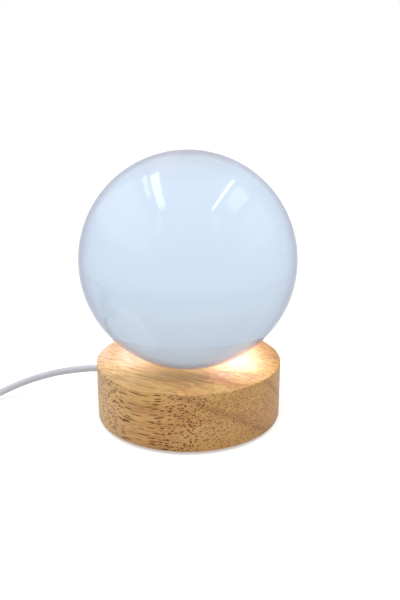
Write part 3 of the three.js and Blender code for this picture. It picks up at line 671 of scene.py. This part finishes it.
def edges_along(shape, axis):
    """The edges that run along one axis, 0 for X, 1 for Y, 2 for Z."""
    others = [k for k in range(3) if k != axis]
    return [e for e in shape.edges
            if all(abs(e.verts[0].co[k] - e.verts[1].co[k]) < SAME_PLACE for k in others)]


def edges_at(shape, height):
    return [e for e in shape.edges if all(abs(v.co.z - height) < SAME_PLACE for v in e.verts)]


def slab(length, width, height, corner, top=0.0, bottom=0.0):
    """A block with round upright corners, and with its top and bottom edges rounded if asked."""
    shape = block(length, width, height)
    rounded(shape, edges_along(shape, 2), corner, 10)
    for level, edge in ((height, top), (0, bottom)):
        if edge:
            rounded(shape, edges_at(shape, level), edge, 4)
    return closed(shape)


def moved(shape, x=0.0, y=0.0, z=0.0, turn=None):
    """Turn a shape about the origin if asked, and then shift it."""
    if turn is not None:
        bmesh.ops.transform(shape, matrix=turn, verts=shape.verts)
    bmesh.ops.translate(shape, vec=(x, y, z), verts=shape.verts)
    return shape


print("edges count as sharp from", round(math.degrees(SMOOTH_UP_TO)), "degrees")

# %% [markdown]
# Holes and joined lumps are made with Boolean modifiers, which cut one closed mesh with another as
# a drill or a mill does. The cutters are thrown away once the result is read back.

# %% Cutting, joining and finishing a piece
def loose(shape, name="shape"):
    """A shape as an object that isn't a piece of the lamp yet."""
    mesh = bpy.data.meshes.new(name)
    shape.to_mesh(mesh)
    shape.free()
    return stand(name, mesh)


def carved(shape, lumps=(), holes=()):
    """Join lumps to a shape and then cut holes in it."""
    body = loose(shape)
    steps = [(loose(lump), "UNION") for lump in lumps]
    steps += [(loose(hole), "DIFFERENCE") for hole in holes]
    for tool, operation in steps:
        step = body.modifiers.new("step", "BOOLEAN")
        step.solver = "EXACT"
        step.operation = operation
        step.object = tool
    result = bmesh.new()
    result.from_object(body, bpy.context.evaluated_depsgraph_get())
    for thing in [body, *(tool for tool, _ in steps)]:
        bpy.data.meshes.remove(thing.data)
    return result


def piece(name, shape, finish, node, body="base"):
    """Turn a shape into a piece of the lamp that stands for a CAD node and rides on a body."""
    bmesh.ops.transform(shape, matrix=Matrix.Scale(MM, 4), verts=shape.verts)
    made = loose(shape, name)
    made.data.shade_smooth()
    made.data.set_sharp_from_angle(angle=SMOOTH_UP_TO)
    made.data.materials.append(finishes[finish])
    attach(made, body)
    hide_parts(node)
    print(f"{name}: {len(made.data.polygons)} faces")
    return made


print("a piece rides on the base, unless another body is named")

# %% [markdown]
# The ball is a true sphere, ground and polished, 80 mm across. Blender has a ready sphere, but its
# faces must be fine here: light is bent at each one, and a coarse ball would bend it in steps. A
# half circle spun round the upright axis gives as many rings as are needed.

# %% Crystal ball
BALL_RINGS = 128
BALL_STEPS = 256

angles = [math.pi * (ring / BALL_RINGS - 0.5) for ring in range(BALL_RINGS + 1)]
half_circle = [
    (BALL_RADIUS * math.cos(angle), BALL_CENTRE + BALL_RADIUS * math.sin(angle))
    for angle in angles
]
half_circle[0] = (0, BALL_CENTRE - BALL_RADIUS)
half_circle[-1] = (0, BALL_CENTRE + BALL_RADIUS)
piece("ball_polished", spun(half_circle, BALL_STEPS), "crystal", "crystal_ball", "ball")

# %% [markdown]
# The base is turned on a lathe: a block 70 mm across and 21.5 mm high, with the rim just broken so
# that it is not sharp, a shallow cone for the ball, a well for the light and a wide cavity below.
# A profile spun round the axis gives all of that at once, and the drilled holes are cut after.

# %% Turned base
BASE_RADIUS = 35.0
UNDERSIDE = 1.0
WOOD_TOP = 22.5
RIM_ROUND = 0.5
RIM_STEPS = 8
SEAT = {"rim": 13.53, "lip": 9.0, "lip_top": 21.138, "lip_underside": 20.2}
WELL_RADIUS = 9.8
CAVITY = {"radius": 21.0, "ceiling": 15.0}
REBATE = {"radius": 26.3, "ceiling": 3.7}


def quarter(radius, height, size, start):
    """A quarter of a circle as points, from the start angle in degrees."""
    angles = [math.radians(start + 90 * i / RIM_STEPS) for i in range(RIM_STEPS + 1)]
    return [(radius + size * math.cos(a), height + size * math.sin(a)) for a in angles]


base_profile = [
    (SEAT["lip"], SEAT["lip_underside"]),
    (WELL_RADIUS, SEAT["lip_underside"]),
    (WELL_RADIUS, CAVITY["ceiling"]),
    (CAVITY["radius"], CAVITY["ceiling"]),
    (CAVITY["radius"], REBATE["ceiling"]),
    (REBATE["radius"], REBATE["ceiling"]),
    (REBATE["radius"], UNDERSIDE),
    *quarter(BASE_RADIUS - RIM_ROUND, UNDERSIDE + RIM_ROUND, RIM_ROUND, -90),
    *quarter(BASE_RADIUS - RIM_ROUND, WOOD_TOP - RIM_ROUND, RIM_ROUND, 0),
    (SEAT["rim"], WOOD_TOP),
    (SEAT["lip"], SEAT["lip_top"]),
    (SEAT["lip"], SEAT["lip_underside"]),
]
print("base profile:", len(base_profile), "points")

# %% Holes in the base
EXIT_TURN = Matrix.Rotation(math.radians(158.6), 4, "Z")
EXIT_HEIGHT = 12.0
LEAD_HOLE = {"radius": 1.7, "start": 18.25, "length": 16}
GROMMET_HOLE = {"radius": 2.9, "start": 29.0, "length": 8.3}
FOOT_CIRCLE = 30.65
FOOT_SPOT = {"radius": 3.3, "depth": 0.6}
COVER_SCREW_CIRCLE = 23.5
HOLDER_SCREW_OUT = 12
PILOT = {"radius": 1.3, "steps": 16}
SPARE = 2.0


def on_exit_line(shape, x, y=0.0, z=0.0):
    """Place a shape by distances along and across the line of the lead's exit."""
    return moved(moved(shape, x, y, z), turn=EXIT_TURN)


def along_exit(shape, start):
    """Lay an upright shape along the lead's exit, from that far out."""
    return on_exit_line(moved(shape, turn=TO_THE_RIGHT), start, 0, EXIT_HEIGHT)


def on_circle(radius, first, count):
    """Places at even angles round the axis, the first one in degrees."""
    angles = [math.radians(first + 360 // count * i) for i in range(count)]
    return [(radius * math.cos(a), radius * math.sin(a)) for a in angles]


foot_places = on_circle(FOOT_CIRCLE, 45, 4)
cover_screw_places = on_circle(COVER_SCREW_CIRCLE, 60, 3)
holder_screw_places = [(0, -HOLDER_SCREW_OUT), (0, HOLDER_SCREW_OUT)]
base_holes = [
    moved(rod(FOOT_SPOT["radius"], FOOT_SPOT["depth"] + SPARE), x, y, UNDERSIDE - SPARE)
    for x, y in foot_places
]
base_holes += [
    along_exit(rod(hole["radius"], hole["length"]), hole["start"])
    for hole in (LEAD_HOLE, GROMMET_HOLE)
]
for places, depth, level in ((cover_screw_places, 9.0, 1.0), (holder_screw_places, 7.0, 11.8)):
    base_holes += [
        on_exit_line(rod(PILOT["radius"], depth, PILOT["steps"]), x, y, level) for x, y in places
    ]
turned_base = carved(spun(base_profile, 160), holes=base_holes)
piece("base_turned", turned_base, "wood", "wooden_base")

# %% [markdown]
# Under the base are four rubber feet and a black cover with three screws. Screws are small, but
# they are what the eye looks for on an underside, so each has a domed head with a cross, cut by
# two thin blocks.

# %% Screws
def screw(head, head_height, shank, length):
    """A screw that points up: a domed head, a cross in it, and a threaded shank."""
    dome = [(0, 0), (head * 0.55, 0.02), (head * 0.85, head_height * 0.14)]
    profile = [*dome, (head, head_height * 0.45), (head, head_height), (shank, head_height)]
    pitch = shank * 0.7
    turns = int((length - shank * 1.6 - head_height) / pitch)
    for i in range(turns):
        start = head_height + i * pitch
        profile += [(shank * 0.8, start + pitch * 0.3), (shank, start + pitch * 0.75)]
        profile += [(shank * 0.8, start + pitch)]
    profile += [(shank * 0.8, length - shank), (0, length)]
    depth = head_height * 0.55
    cross = [moved(block(head * 1.2, head * 0.3, depth + SPARE), z=-SPARE),
             moved(block(head * 0.3, head * 1.2, depth + SPARE), z=-SPARE)]
    return carved(spun(profile, 32), holes=cross)


def screw_set(node, places, put, **size):
    """One screw at each place, put there by a function that knows the places' own frame."""
    return [
        piece(f"{node}_{i}_plated", put(screw(**size), *place), "steel", f"{node}_{i}")
        for i, place in enumerate(places, 1)
    ]


WOOD_SCREW = {"head": 1.8, "head_height": 1.2, "shank": 1.0}
for node, places, level, length in (
    ("cover_screw", cover_screw_places, UNDERSIDE, 8.2),
    ("holder_screw", holder_screw_places, 11.5, 7.0),
):
    screw_set(node, [(x, y, level) for x, y in places], on_exit_line, **WOOD_SCREW, length=length)

# %% Feet, cover and window
HEAD_HOLE = {"radius": 2.1, "depth": 1.5}
SHANK_HOLE = {"radius": 1.3, "depth": 2.4 + SPARE}
WINDOW_LEVEL = 18.4

foot_profile = [(0, 0), (2.5, 0), (2.85, 0.12), (3.0, 0.42), (3.0, 1.18), (2.88, 1.3), (0, 1.3)]
for i, (x, y) in enumerate(foot_places, 1):
    piece(f"foot_{i}", moved(spun(foot_profile, 48), x, y), "rubber", f"foot_pad_{i}")

cover_holes = [
    moved(rod(hole["radius"], hole["depth"] + SPARE, steps), x, y, -SPARE)
    for hole, steps in ((HEAD_HOLE, 32), (SHANK_HOLE, 24)) for x, y in cover_screw_places
]
cover_profile = [(0, 0), (25.6, 0), (25.9, 0.1), (26, 0.4), (26, 2.0), (25.6, 2.4), (0, 2.4)]
cover = carved(spun(cover_profile, 128), holes=cover_holes)
piece("cover_plate", on_exit_line(cover, 0, 0, UNDERSIDE), "black_plastic", "bottom_cover")

window_profile = [(0, 0), (9.3, 0), (9.5, 0.2), (9.5, 1.3), (9.3, 1.5), (0, 1.5)]
window = moved(spun(window_profile), z=WINDOW_LEVEL)
piece("window_disc", window, "clear_plastic", "light_window")

# %% [markdown]
# The grommet lines the hole where the lead leaves the wood, so that the jacket doesn't chafe. It
# is a turned ring with a soft flange, pushed in from outside. The lead's end inside the base runs
# up to the outer face of the grommet, where the free lead takes over.

# %% Grommet and the lead inside the base
INNER_LEAD_STARTS = 15.5
INNER_LEAD_ENDS = 36.3
grommet_profile = [
    (1.7, 0), (2.6, 0), (2.6, 6.0), (3.45, 6.0), (3.6, 6.2), (3.6, 6.9), (3.35, 7.2),
    (2.9, 7.3), (2.1, 7.3), (1.75, 7.05), (1.7, 6.6), (1.7, 0),
]
grommet = along_exit(spun(grommet_profile, 64), GROMMET_HOLE["start"])
piece("grommet_ring", grommet, "white_plastic", "lead_grommet")
inner_lead = rod(LEAD_RADIUS, INNER_LEAD_ENDS - INNER_LEAD_STARTS, 40)
piece("lead_inside", along_exit(inner_lead, INNER_LEAD_STARTS), "lead_jacket", "lead_in_base")

# %% [markdown]
# The coil is held by a thin plastic band. A block the size of the bundle gets round corners, loses
# its two open ends, and the Solidify modifier gives the sheet that is left its thickness.

# %% Band round the coil
BAND = {"length": 12.575, "height": 14.25, "width": 4.0, "corner": 1.4, "thickness": 0.4}
band = block(BAND["length"], BAND["width"], BAND["height"])
rounded(band, edges_along(band, 1), BAND["corner"], 8)
ends = [f for f in band.faces if abs(f.normal.y) > 0.99]
bmesh.ops.delete(band, geom=ends, context="FACES")
bmesh.ops.recalc_face_normals(band, faces=band.faces)
coil_inner = COIL["outer"] - LAYER_TURNS * COIL["pitch"]
moved(band, COIL["x"] - (COIL["outer"] + coil_inner) / 2, COIL["y"])
coil_band = piece("coil_band", band, "tie_plastic", "coil_tie")
wall = coil_band.modifiers.new("wall", "SOLIDIFY")
wall.thickness = BAND["thickness"] * MM
wall.offset = -1

# %% [markdown]
# The switch is two moulded shells, closed by two screws from below, with a rocker in a window in
# the upper one. Each shell is a rounded slab, hollowed and pierced by cutters. The rocker has a
# dipped top and turns on a short axle, so it is a piece of its own that rides on its own body.

# %% Switch shells
SWITCH = {"x": -124.3, "y": -48.4, "length": 38.0, "width": 14.0, "height": 11.0, "corner": 5.0}
SHELL_WALL = 1.2
LOWER_TOP = 5.35
UPPER_BOTTOM = 5.65
LEAD_LEVEL = 5.5
BOSSES = [(-12.5, 3.9), (12.5, 3.9)]
BOSS_RADIUS = 2.5
COUNTERBORE = {"radius": 1.9, "depth": 1.3}
SCREW_BORE = 1.1


def switch_slab(height, inset=0.0, top=0.0, bottom=0.0):
    """A slab with the switch's outline, or with one that is smaller all round."""
    return slab(SWITCH["length"] - 2 * inset, SWITCH["width"] - 2 * inset, height,
                SWITCH["corner"] - inset, top, bottom)


def lead_hole():
    reach = SWITCH["length"] / 2 + SPARE
    return moved(rod(LEAD_HOLE["radius"], 2 * reach), -reach, 0, LEAD_LEVEL, TO_THE_RIGHT)


def at_bosses(radius, length, level, steps=32):
    """One upright rod at each of the two screws."""
    return [moved(rod(radius, length, steps), x, y, level) for x, y in BOSSES]


def in_switch(shape, x=0.0, y=0.0):
    """From the switch's own frame, with its middle at the origin, to the lamp's."""
    return moved(moved(shape, x, y), SWITCH["x"], SWITCH["y"])


lower = switch_slab(LOWER_TOP, top=0.15, bottom=0.9)
hollow = moved(switch_slab(LOWER_TOP, SHELL_WALL), z=SHELL_WALL)
lower = carved(lower, holes=[hollow, lead_hole()])
lower = carved(
    lower,
    lumps=at_bosses(BOSS_RADIUS, LOWER_TOP - 0.1, 0.1),
    holes=at_bosses(COUNTERBORE["radius"], COUNTERBORE["depth"] + SPARE, -SPARE)
    + at_bosses(SCREW_BORE, LOWER_TOP + 2 * SPARE, -SPARE, steps=20),
)
lower_shell = piece("switch_shell_lower", in_switch(lower), "white_plastic",
                    "switch_lower_shell")

# %% Upper shell with the rocker's window
AXLE_LEVEL = 8.5
AXLE = {"radius": 0.9, "length": 10.8}
AXLE_BORE = {"radius": 1.2, "length": 11.4}
EAR = {"length": 4.0, "width": 2.4, "height": 3.4}
EAR_OUT = 5.2
EAR_LEVEL = SWITCH["height"] - SHELL_WALL - 2.8
WINDOW = {"length": 13.5, "width": 8.0, "height": SWITCH["height"] + SPARE, "corner": 0.4}


def across_switch(radius, length, level=0.0):
    """A rod that lies across the switch, with its middle over the switch's own."""
    return moved(rod(radius, length), 0, length / 2, level, TO_THE_FRONT)


upper_height = SWITCH["height"] - UPPER_BOTTOM
upper = moved(switch_slab(upper_height, top=1.3, bottom=0.15), z=UPPER_BOTTOM)
hollow = moved(switch_slab(upper_height, SHELL_WALL), z=UPPER_BOTTOM - SHELL_WALL)
upper = carved(upper, holes=[hollow, slab(**WINDOW), lead_hole()])
ears = [moved(block(**EAR), 0, y, EAR_LEVEL) for y in (-EAR_OUT, EAR_OUT)]
posts = at_bosses(BOSS_RADIUS, length=4.7, level=UPPER_BOTTOM)
pilots = at_bosses(SCREW_BORE, length=7.0, level=1.0, steps=20)
bore = across_switch(**AXLE_BORE, level=AXLE_LEVEL)
upper = carved(upper, lumps=ears + posts, holes=[bore, *pilots])
upper_shell = piece("switch_shell_upper", in_switch(upper), "white_plastic",
                    "switch_upper_shell")

# %% Rocker
ROCKER_TILT = Matrix.Rotation(math.radians(8), 4, "Y")
ROCKER_WIDTH = 7.4
ROCKER_ROUND = 0.35
BENDS_FROM = math.radians(40)

rocker_outline = [(-5, -1.6), (5, -1.6), (6, 3.6), (3, 2.86), (0, 2.7), (-3, 2.86), (-6, 3.6)]
rocker = bmesh.new()
face = rocker.faces.new([rocker.verts.new((x, -ROCKER_WIDTH / 2, z)) for x, z in rocker_outline])
swept = bmesh.ops.extrude_face_region(rocker, geom=[face])["geom"]
far_side = [v for v in swept if isinstance(v, bmesh.types.BMVert)]
bmesh.ops.translate(rocker, vec=(0, ROCKER_WIDTH, 0), verts=far_side)
closed(rocker)
bends = [e for e in rocker.edges if e.calc_face_angle(0) > BENDS_FROM]
rounded(rocker, bends, ROCKER_ROUND, segments=3)
rocker = carved(rocker, lumps=[across_switch(**AXLE)])
moved(rocker, z=AXLE_LEVEL, turn=ROCKER_TILT)
switch_key = piece("switch_key", in_switch(rocker), "white_plastic", "switch_rocker", "rocker")

# %% Switch screws
switch_screws = screw_set("switch_screw", BOSSES, in_switch,
                          head=1.6, head_height=1.0, shank=0.8, length=7.0)

# %% [markdown]
# The plug is a moulded body with a tapered relief where the lead goes in, and a folded steel shell
# round a plastic tongue with four contacts. The shell of such a plug has two square holes on each
# broad side, which a catch in the socket falls into.

# %% Plug
PLUG = {"x": -157.5, "y": -33.3, "z": 4.0}
TO_THE_BACK = Matrix.Rotation(QUARTER_TURN, 4, "Z")
LYING = TO_THE_BACK @ TO_THE_FRONT
RELIEF_RINGS = 3
JACKET_HOLE = 1.45
GRIP = {"length": 16, "width": 8, "height": 18, "corner": 2.4, "top": 0.9, "bottom": 1.2}
GRIP_START = 6
GROOVE = {"length": 0.7, "width": 9, "height": 0.5}
GROOVES_START = 10
GROOVE_STEP = 1.6
POCKET = {"length": 6.3, "width": 12.6, "height": 5.1}
SLEEVE = {"length": 12, "width": 4.5, "height": 19, "corner": 0.5}
SLEEVE_START = 20
HOLLOW = {"length": 11.4, "width": 3.9, "height": 19 + 2 * SPARE, "corner": 0.25}
CATCH = {"length": 2.2, "width": 2.5, "height": 8}


def in_plug(shape):
    """From the plug's own frame, +X towards its tip, to the lamp's."""
    return moved(shape, PLUG["x"], PLUG["y"], PLUG["z"], TO_THE_BACK)


relief_profile = [(JACKET_HOLE, 0), (2.2, 0), (2.3, 0.12)]
for i in range(RELIEF_RINGS):
    start, radius = 1.1 + 1.5 * i, 2.45 + 0.27 * i
    relief_profile += [(radius, start), (radius - 0.45, start + 0.12)]
    relief_profile += [(radius - 0.4, start + 0.62), (radius + 0.1, start + 0.75)]
relief_profile += [(3.4, 6.0), (3.4, 8.0), (JACKET_HOLE, 8.0), (JACKET_HOLE, 0)]
relief = moved(spun(relief_profile, 48), turn=TO_THE_RIGHT)
grip = moved(slab(**GRIP), GRIP_START, turn=LYING)
pocket = moved(block(**POCKET), x=22.85, z=-POCKET["height"] / 2)
lead_pocket = moved(rod(JACKET_HOLE, length=4.0), x=4.5, turn=TO_THE_RIGHT)
grooves = [
    moved(block(**GROOVE), x=GROOVES_START + GROOVE_STEP * i, z=level)
    for i in range(4) for level in (3.7, -4.2)
]
grip = carved(grip, holes=[pocket, lead_pocket, *grooves])
grip = carved(grip, lumps=[relief])
plug_grip = piece("plug_grip", in_plug(grip), "white_plastic", "plug_body")

sleeve = moved(slab(**SLEEVE), SLEEVE_START, turn=LYING)
hollow = moved(slab(**HOLLOW), SLEEVE_START - SPARE, turn=LYING)
catches = [moved(block(**CATCH), x=31.5, y=y, z=-CATCH["height"] / 2) for y in (-2.6, 2.6)]
sleeve = carved(sleeve, holes=[hollow, *catches])
plug_sleeve = piece("plug_sleeve", in_plug(sleeve), "plug_steel", "plug_shell")

# %% [markdown]
# What the frame already has right keeps its CAD shape and only gets its finish: the parts of the
# light module, the wires and contacts. The record says which finish each node has.

# %% Finishes for the CAD nodes that stay
kept = 0
for row in frame["record"]["subparts"]:
    node = frame["nodes"][row["node"]]
    node.data.materials.clear()
    node.data.materials.append(finishes[row["material_slot"]])
    kept += not node.hide_render
print("CAD nodes that show:", kept)

# %% [markdown]
# Now that the switch and the plug exist, the two lengths of lead get their finish and ride on the
# base, and the CAD nodes of the lead that they stand for are hidden.


for lead, nodes in (
    (lead_with_coil, ["lead_from_base", "lead_coil", "lead_to_switch", "switch_lead_end_2"]),
    (lead_at_plug, ["lead_to_plug", "switch_lead_end_1"]),
):
    lead.data.materials.append(finishes["lead_jacket"])
    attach(lead, "base")
    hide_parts(*nodes)

# %% [markdown]
# The stage is a pale floor and a white room. The photograph's ground is pure white, but the lamp
# must not be lit more for that, so the white is shown only to the camera and to rays that mirror
# or pass through the ball. What lights the lamp is dimmer and even. In the ball, the floor and the
# room have to meet without a step: the lamps reach less and less of the floor, so its glow grows
# with the distance, and from half a metre on it fades into the level of the room.

# %% Floor
FLOOR_RADIUS = 4.0
UNDER_FEET = 0.1
FLOOR_PAINT = 0.77
PAINT_SWING = 0.01
GLOW_NEAR = 0.4
GLOW_REACH = 0.05
GLOW_SLOPE = 0.08
GLOW_RISE = 0.02
CAMERA_GLOW = 0.47
FADE_FROM, FADE_TO = 0.5, 3.0
ROOM_LEVEL = 0.88
BLACK = (0, 0, 0, 1)


def grey(level):
    return (level, level, level, 1)


def to_the_eye(finish, *kinds):
    """1 for rays of the named kinds that met no dull surface on the way, and 0 for others."""
    total = finish.light_path(f"Is {kinds[0]} Ray")
    for kind in kinds[1:]:
        total = total.maximum(finish.light_path(f"Is {kind} Ray"))
    return total * (1 - finish.light_path("Diffuse Depth").clipped())


ground = Finish("floor_white", Roughness=0.9, Specular_IOR_Level=0.0, Emission_Strength=1.0)
from_lamp = ground.vector("LENGTH", ground.place(), (0, 0, 0), "Value")
by_the_ball = to_the_eye(ground, "Glossy", "Transmission")
# Painted light: a glow on the floor close to the lamp, brightest at the base, that only the ball
# shows; it lifts the shade round the base there.
near_glow = GLOW_NEAR * GLOW_REACH / (from_lamp + GLOW_REACH)
far_glow = from_lamp * (from_lamp * GLOW_RISE + GLOW_SLOPE)
glow = near_glow * by_the_ball + far_glow * to_the_eye(ground, "Camera", "Glossy", "Transmission")
glow = glow + to_the_eye(ground, "Camera") * CAMERA_GLOW
share = ((from_lamp - FADE_FROM) / (FADE_TO - FADE_FROM)).clipped()
fade = share * (2 - share) * by_the_ball
mottle = ground.even_noise(4, detail=2.0)
painted = ground.blend(mottle, grey(FLOOR_PAINT - PAINT_SWING), grey(FLOOR_PAINT + PAINT_SWING))
ground.surface(
    Base_Color=ground.blend(fade, painted, BLACK),
    Emission_Color=glow * (1 - fade) + fade * ROOM_LEVEL,
)

floor_shape = bmesh.new()
bmesh.ops.create_circle(floor_shape, cap_ends=True, radius=FLOOR_RADIUS, segments=96)
floor = loose(floor_shape, "floor")
floor.location.z = -UNDER_FEET * MM
floor.data.materials.append(ground.owner)
print("floor:", 2 * FLOOR_RADIUS, "m across")

# %% [markdown]
# The room is the world behind everything. Overhead it is a little dimmer, as a studio is, and two
# faint soft boxes stand out from it, which the photograph shows low in the ball at both sides.

# %% White room
ROOM_LIGHT = 0.225
ROOM_DROP = 0.13
DROP_REACH = 0.03
SOFT_BOXES = [((0.43, 0.85, 0.29), 0.06), ((-0.55, 0.77, 0.32), 0.035)]
BOX_EDGE = math.cos(math.radians(15))
BOX_SOFTNESS = 0.012


class Room(Finish):
    """The world has a node tree as a material has."""

    def __init__(self, world):
        self.wrap(world, "Background")


bpy.context.scene.world = bpy.data.worlds.new("white_room")
room = Room(bpy.context.scene.world)
direction = room.node("ShaderNodeTexCoord", {}, {}, "Generated")
across, behind, upright = room.axes(direction)
upwards = upright.clipped()
steep = upwards * upwards
in_ball = ROOM_LEVEL - ROOM_LIGHT - steep / (steep + DROP_REACH) * ROOM_DROP
for box_way, box_glow in SOFT_BOXES:
    facing = room.vector("DOT_PRODUCT", direction, tuple(Vector(box_way).normalized()), "Value")
    in_ball = in_ball + ((facing - BOX_EDGE) / BOX_SOFTNESS).clipped() * box_glow
seen = to_the_eye(room, "Camera") * (1 - ROOM_LIGHT)
seen = seen + to_the_eye(room, "Glossy", "Transmission") * in_ball
print("room light:", ROOM_LIGHT)

# %% [markdown]
# A clear ball is also a lens: it gathers what is bright on one side into a patch on the wood of
# the other. Lamps could do that here too, but then their images would show in the ball, where the
# photograph has none. So the bright places belong to the room, and only rays that left the wood
# and passed through the ball find them. Each is given by how far aside and behind it lies for
# every metre up: light from there lands about 38 mm times that far to the other side. The patches
# look white on yellow wood, so their light is cool. A bright band behind the lamp, which the ball
# gathers too, lights the front of the wood.

# %% Light that the ball gathers on the wood
SOFT_EDGE = 8.0
COOL = (0.97, 0.93, 1.95, 1)
# Each place: how far aside and behind it lies, how wide it is both ways, and how bright.
GATHERED = {
    "right_core": ((-0.5, -0.03), (0.36, 0.92), 5.1),
    "right_soft": ((-0.5, 0.18), (0.66, 1.05), 1.8),
    "right_far": ((-0.8, -0.05), (0.3, 0.95), 0.4),
    "left_core": ((0.58, -0.04), (0.22, 0.62), 2.1),
    "left_far": ((0.86, -0.1), (0.16, 0.7), 1.8),
}
FRONT_BAND = {"above": 0.62, "below": 0.9, "edge": 0.08, "behind": 1 / 3, "lean": 0.75,
              "glow": 1.1}
WHITE = (1, 1, 1, 1)

through_ball = room.light_path("Is Transmission Ray") * room.light_path("Diffuse Depth").clipped()
patches = 0
for middle, size, patch_glow in GATHERED.values():
    patch = patch_glow
    for away, centre, width in zip((across, behind), middle, size):
        off = (away / upwards - centre) / width
        patch = (2 - off * off * SOFT_EDGE).clipped() * patch
    patches = patches + patch
front = ((FRONT_BAND["below"] - upwards) / FRONT_BAND["edge"]).clipped()
front = front * ((upwards - FRONT_BAND["above"]) / FRONT_BAND["edge"]).clipped()
front = front * (behind / FRONT_BAND["behind"]).clipped() * FRONT_BAND["glow"]
front = front * (across * across - across * FRONT_BAND["lean"] + 1.0)
gathered = patches + front
room.surface(
    Color=room.blend(through_ball * patches / (gathered + ROOM_LIGHT), WHITE, COOL),
    Strength=ROOM_LIGHT + seen + through_ball * gathered,
)
print("gathered patches:", list(GATHERED))

# %% [markdown]
# Soft panels hang over the lamp on both sides. Their reflections are the white streaks on the
# ball, and their places were worked out from those streaks: a mirrored point on a ball says in
# which direction the lamp stands, and no more, so every panel is placed for one metre above the
# ball and the whole studio is then scaled up. The narrow panels are bright and the wide ones are
# faint. Two panels in one plane would hide each other, so each hangs a little lower than the one
# before it, and each fades out towards its edges, as a lit cloth does. The photograph doesn't show
# lamps through the ball, so rays that pass through it miss them, all but the wide ceiling, which
# in turn isn't mirrored. Blender blurs light that went through glass after a dull surface, against
# speckles, and that would spread the gathered patches thin, so this blur is off.

# %% Light panels
STUDIO_SCALE = 3.0
STUDIO_LEVEL = 0.75
PANEL_STEP = 0.05
SEEN_THROUGH = "front_ceiling"
# Each panel: where it hangs and how big it is for one metre up, its turns, and its glow.
PANELS = {
    "left_window": {"at": (-0.43, 0.12, 1), "size": (0.15, 1.1), "glow": 6.4},
    "left_window_side": {"at": (-0.59, 0.35, 1), "size": (0.09, 0.8), "glow": 2.8},
    "left_wall": {"at": (-1, 0.05, 0.78), "size": (1.1, 2.5), "lean": -90, "glow": 0.75},
    "right_tube": {"at": (0.535, 0.085, 1), "size": (0.06, 1.15), "turn": -11.9, "glow": 9.4},
    "right_window": {"at": (0.83, 0.15, 1), "size": (0.38, 0.85), "turn": -14, "glow": 2.1},
    "right_wall": {"at": (1.3, -0.1, 0.7), "size": (0.9, 1.6), "lean": 90, "glow": 0.5},
    "left_strip": {"at": (-0.72, -0.9, 1), "size": (0.2, 1.0), "turn": -26.6, "glow": 0.9},
    "right_strip": {"at": (0.62, -0.78, 1), "size": (0.2, 0.55), "turn": 32, "glow": 0.9},
    "front_ceiling": {"at": (0, -0.27, 1), "size": (2.2, 1.5), "glow": 2.1},
}


class Lamp(Finish):
    """A lamp's own shader, which fades the panel out towards its edges."""

    def __init__(self, lamp):
        self.wrap(lamp, "Emission")
        across = self.axes(self.node("ShaderNodeNewGeometry", {}, {}, "Parametric"))[:2]
        soft = [(share * (1 - share) * SOFT_EDGE).clipped() for share in across]
        self.surface(Strength=soft[0] * soft[1])


def hang_panel(name, away, at, size, glow, turn=0.0, lean=0.0):
    """An area lamp; its glow is how bright it looks, where 1 is white."""
    lamp = bpy.data.lights.new(name, "AREA")
    lamp.shape = "RECTANGLE"
    lamp.size, lamp.size_y = (away * s for s in size)
    lamp.energy = glow * STUDIO_LEVEL * math.pi * lamp.size * lamp.size_y
    Lamp(lamp)
    hung = stand(name, lamp)
    hung.location = Vector(at) * away + Vector((0, 0, BALL_CENTRE * MM))
    hung.rotation_euler = (0, math.radians(lean), math.radians(turn))
    hung.visible_transmission = name == SEEN_THROUGH
    hung.visible_glossy = name != SEEN_THROUGH
    hung.visible_camera = False


for number, (name, panel) in enumerate(PANELS.items()):
    hang_panel(name, STUDIO_SCALE - number * PANEL_STEP, **panel)
bpy.context.scene.cycles.blur_glossy = 0.0
bpy.context.scene.view_settings.view_transform = "Standard"
print("light panels:", list(PANELS))
